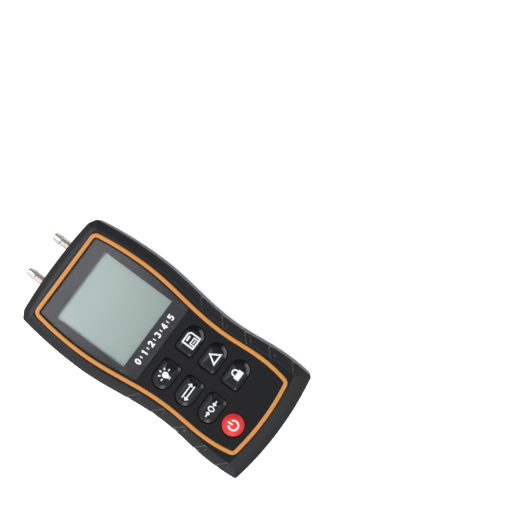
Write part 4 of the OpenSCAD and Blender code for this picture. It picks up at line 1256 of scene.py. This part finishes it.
# Screws
# Zinc-plated screws with cross recesses: four hold the case halves from the back, six hold the board.
screw_steel = metal("screw_zinc", (176, 178, 180), 0.28, 700, 0.05)
case_screw_low, case_screw_high = corners("case_screws")
head_z = case_screw_low[2]
end_z = case_screw_high[2]
head_t = 2
head_profile = [(0.1, head_z), (head_r - 0.7, head_z + 0.02), (head_r - 0.25, head_z + 0.18),
                (head_r, head_z + 0.6), (head_r, head_z + head_t), (screw_r, head_z + head_t),
                (screw_r, end_z - 0.6), (screw_r - 0.5, end_z), (0.1, end_z)]
screws = make_piece("case_fasteners", [loft(turned(head_profile, (x, y, 0), "z", steps=40))
                                       for x, y in screw_places], screw_steel)
recess_half = 1.7
recess_slot = 0.36
recess_taper = 0.7
recess_depth = 1.3
recess_start = 0.3
cross = []
for place in np.array(screw_places):
    for half in np.array([(recess_half, recess_slot), (recess_slot, recess_half)]):
        wide_end = rectangle(place - half, place + half)
        narrow_end = rectangle(place - half * recess_taper, place + half * recess_taper)
        cross.append(loft([at_height(wide_end, head_z - recess_start),
                           at_height(narrow_end, head_z + recess_depth)]))
machine(screws, cross)
soften(screws, angle=35)
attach(screws, "root")
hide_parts("case_screws")
dress(screw_steel, "board_screws")

# Label
# A blank satin film with round corners, cut from a sheet and stuck in its recess on the back. Nothing is
# printed on it.
label_corner_r = 1.5
label_outline = rounded(marked(*rectangle(label_low, label_high).T, label_corner_r))
label_film = moulded("label_film", (196, 196, 193), 0.4, grain=700, bump=0.03, contrast=0.03)
label = make_piece("blank_label", loft([at_height(label_outline, z) for z in (label_low[2], label_high[2])]),
                   label_film)
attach(label, "root")
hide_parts("rating_label")

# Table, sky, lamp and camera
# A seamless white table, a sky of soft panels, one softbox, and a camera nearly straight above that is turned
# as the photograph's. The table glows a little, so that it shows white, and keeps the object's shadow.
floor_size = 6
floor_color = (0.85, 0.85, 0.85, 1)
floor_glow = 0.72
floor_mesh = bpy.data.meshes.new("table")
floor_corners = at_height(rectangle((-floor_size, -floor_size), (floor_size, floor_size)), 0)
floor_mesh.from_pydata(floor_corners.tolist(), [], [(0, 1, 2, 3)])
floor = bpy.data.objects.new("table", floor_mesh)
bpy.context.scene.collection.objects.link(floor)
floor_material = bpy.data.materials.new("white_table")
floor_material.use_nodes = True
floor_tree = floor_material.node_tree
floor_shader = floor_tree.nodes["Principled BSDF"]
for socket, value in (("Base Color", floor_color), ("Roughness", 0.9), ("Specular IOR Level", 0.1),
                      ("Emission Color", (1, 1, 1, 1))):
    floor_shader.inputs[socket].default_value = value


def reckon(tree, operation, one, other):
    """Output of one operation on two values, each of them a number or a node's output."""
    node = tree.nodes.new("ShaderNodeMath")
    node.operation = operation
    feed(tree, node.inputs[0], one)
    feed(tree, node.inputs[1], other)
    return node.outputs["Value"]


path = floor_tree.nodes.new("ShaderNodeLightPath")
seen = reckon(floor_tree, "MAXIMUM", path.outputs["Is Camera Ray"], path.outputs["Is Glossy Ray"])
seen = reckon(floor_tree, "MAXIMUM", seen, path.outputs["Is Transmission Ray"])
glow = reckon(floor_tree, "MULTIPLY", seen, floor_glow)
floor_tree.links.new(glow, floor_shader.inputs["Emission Strength"])
floor_mesh.materials.append(floor_material)

world = bpy.data.worlds.new("studio")
world.use_nodes = True
sky_tree = world.node_tree
background = sky_tree.nodes["Background"]
background.inputs["Color"].default_value = (0.96, 0.975, 1, 1)
where = sky_tree.nodes.new("ShaderNodeTexCoord")


def sky_ramp(towards, start, end, low, high):
    """Smooth step from low to high, by how far a direction of the sky leans towards another one."""
    lean = sky_tree.nodes.new("ShaderNodeVectorMath")
    lean.operation = "DOT_PRODUCT"
    lean.inputs[1].default_value = towards
    sky_tree.links.new(where.outputs["Generated"], lean.inputs[0])
    return smooth_ramp(sky_tree, lean.outputs["Value"], start, end, low, high)


def sky_panel(towards, near, far, high, rest=0):
    """Panel of light across a direction: it rises from nothing, and further on falls to a share of itself."""
    return reckon(sky_tree, "MULTIPLY", sky_ramp(towards, *near, 0, high), sky_ramp(towards, *far, 1, rest))


right, up, top_end, low_end = (1, 0, 0), (0, 0, 1), (0, 1, 0), (0, -1, 0)
low_right = (0.707, -0.707, 0)
dome = sky_ramp(up, start=0.55, end=0.98, low=0.45, high=0.07)
high_panel = sky_panel(top_end, near=(0.02, 0.085), far=(0.13, 0.22), high=0.95, rest=0.1)
low_panel = sky_panel(low_end, near=(0.06, 0.42), far=(0.5, 0.58), high=3)
side_shade = sky_ramp(right, start=-0.05, end=0.4, low=1, high=0.12)
left_panel = sky_ramp(right, start=-0.5, end=-0.2, low=0.1, high=0)
strip_height = sky_panel(up, near=(0.42, 0.48), far=(0.6, 0.66), high=1)
strip_side = sky_ramp(low_right, start=0.6, end=0.7, low=0, high=3.1)
strip = reckon(sky_tree, "MULTIPLY", strip_side, strip_height)
open_sky = reckon(sky_tree, "ADD", left_panel, strip)
shaded_sky = reckon(sky_tree, "ADD", dome, reckon(sky_tree, "ADD", high_panel, low_panel))
shaded_sky = reckon(sky_tree, "MULTIPLY", shaded_sky, side_shade)
sky_tree.links.new(reckon(sky_tree, "ADD", open_sky, shaded_sky), background.inputs["Strength"])
bpy.context.scene.world = world


def softbox(name, place, target, size, watts):
    """Lamp of a width and a height that faces a target."""
    lamp = bpy.data.lights.new(name, "AREA")
    lamp.shape = "RECTANGLE"
    lamp.size, lamp.size_y = size
    lamp.energy = watts
    holder = bpy.data.objects.new(name, lamp)
    bpy.context.scene.collection.objects.link(holder)
    away = np.array(place, float) - target
    away /= np.linalg.norm(away)
    across = np.cross((0, 0, 1), away)
    across /= np.linalg.norm(across)
    turn = np.column_stack([across, np.cross(away, across), away])
    holder.matrix_world = Matrix.Translation(place) @ Matrix(turn.tolist()).to_4x4()


softbox("top_softbox", place=(-0.26, 0.57, 1.08), target=(0, 0, 0), size=(0.7, 0.3), watts=7.8)

camera_place = (0.07157, -0.01929, 1.02655)
picture_right = np.array([0.5962, -0.8028, 0])
picture_right /= np.linalg.norm(picture_right)
picture_up = np.array([-picture_right[1], picture_right[0], 0])
look = np.column_stack([picture_right, picture_up, (0, 0, 1)])
camera_data = bpy.data.cameras.new("camera")
camera_data.sensor_width = 36
camera_data.lens = 121
camera = bpy.data.objects.new("camera", camera_data)
bpy.context.scene.collection.objects.link(camera)
camera.matrix_world = Matrix.Translation(camera_place) @ Matrix(look.tolist()).to_4x4()
bpy.context.scene.camera = camera
bpy.context.scene.view_settings.view_transform = "Standard"
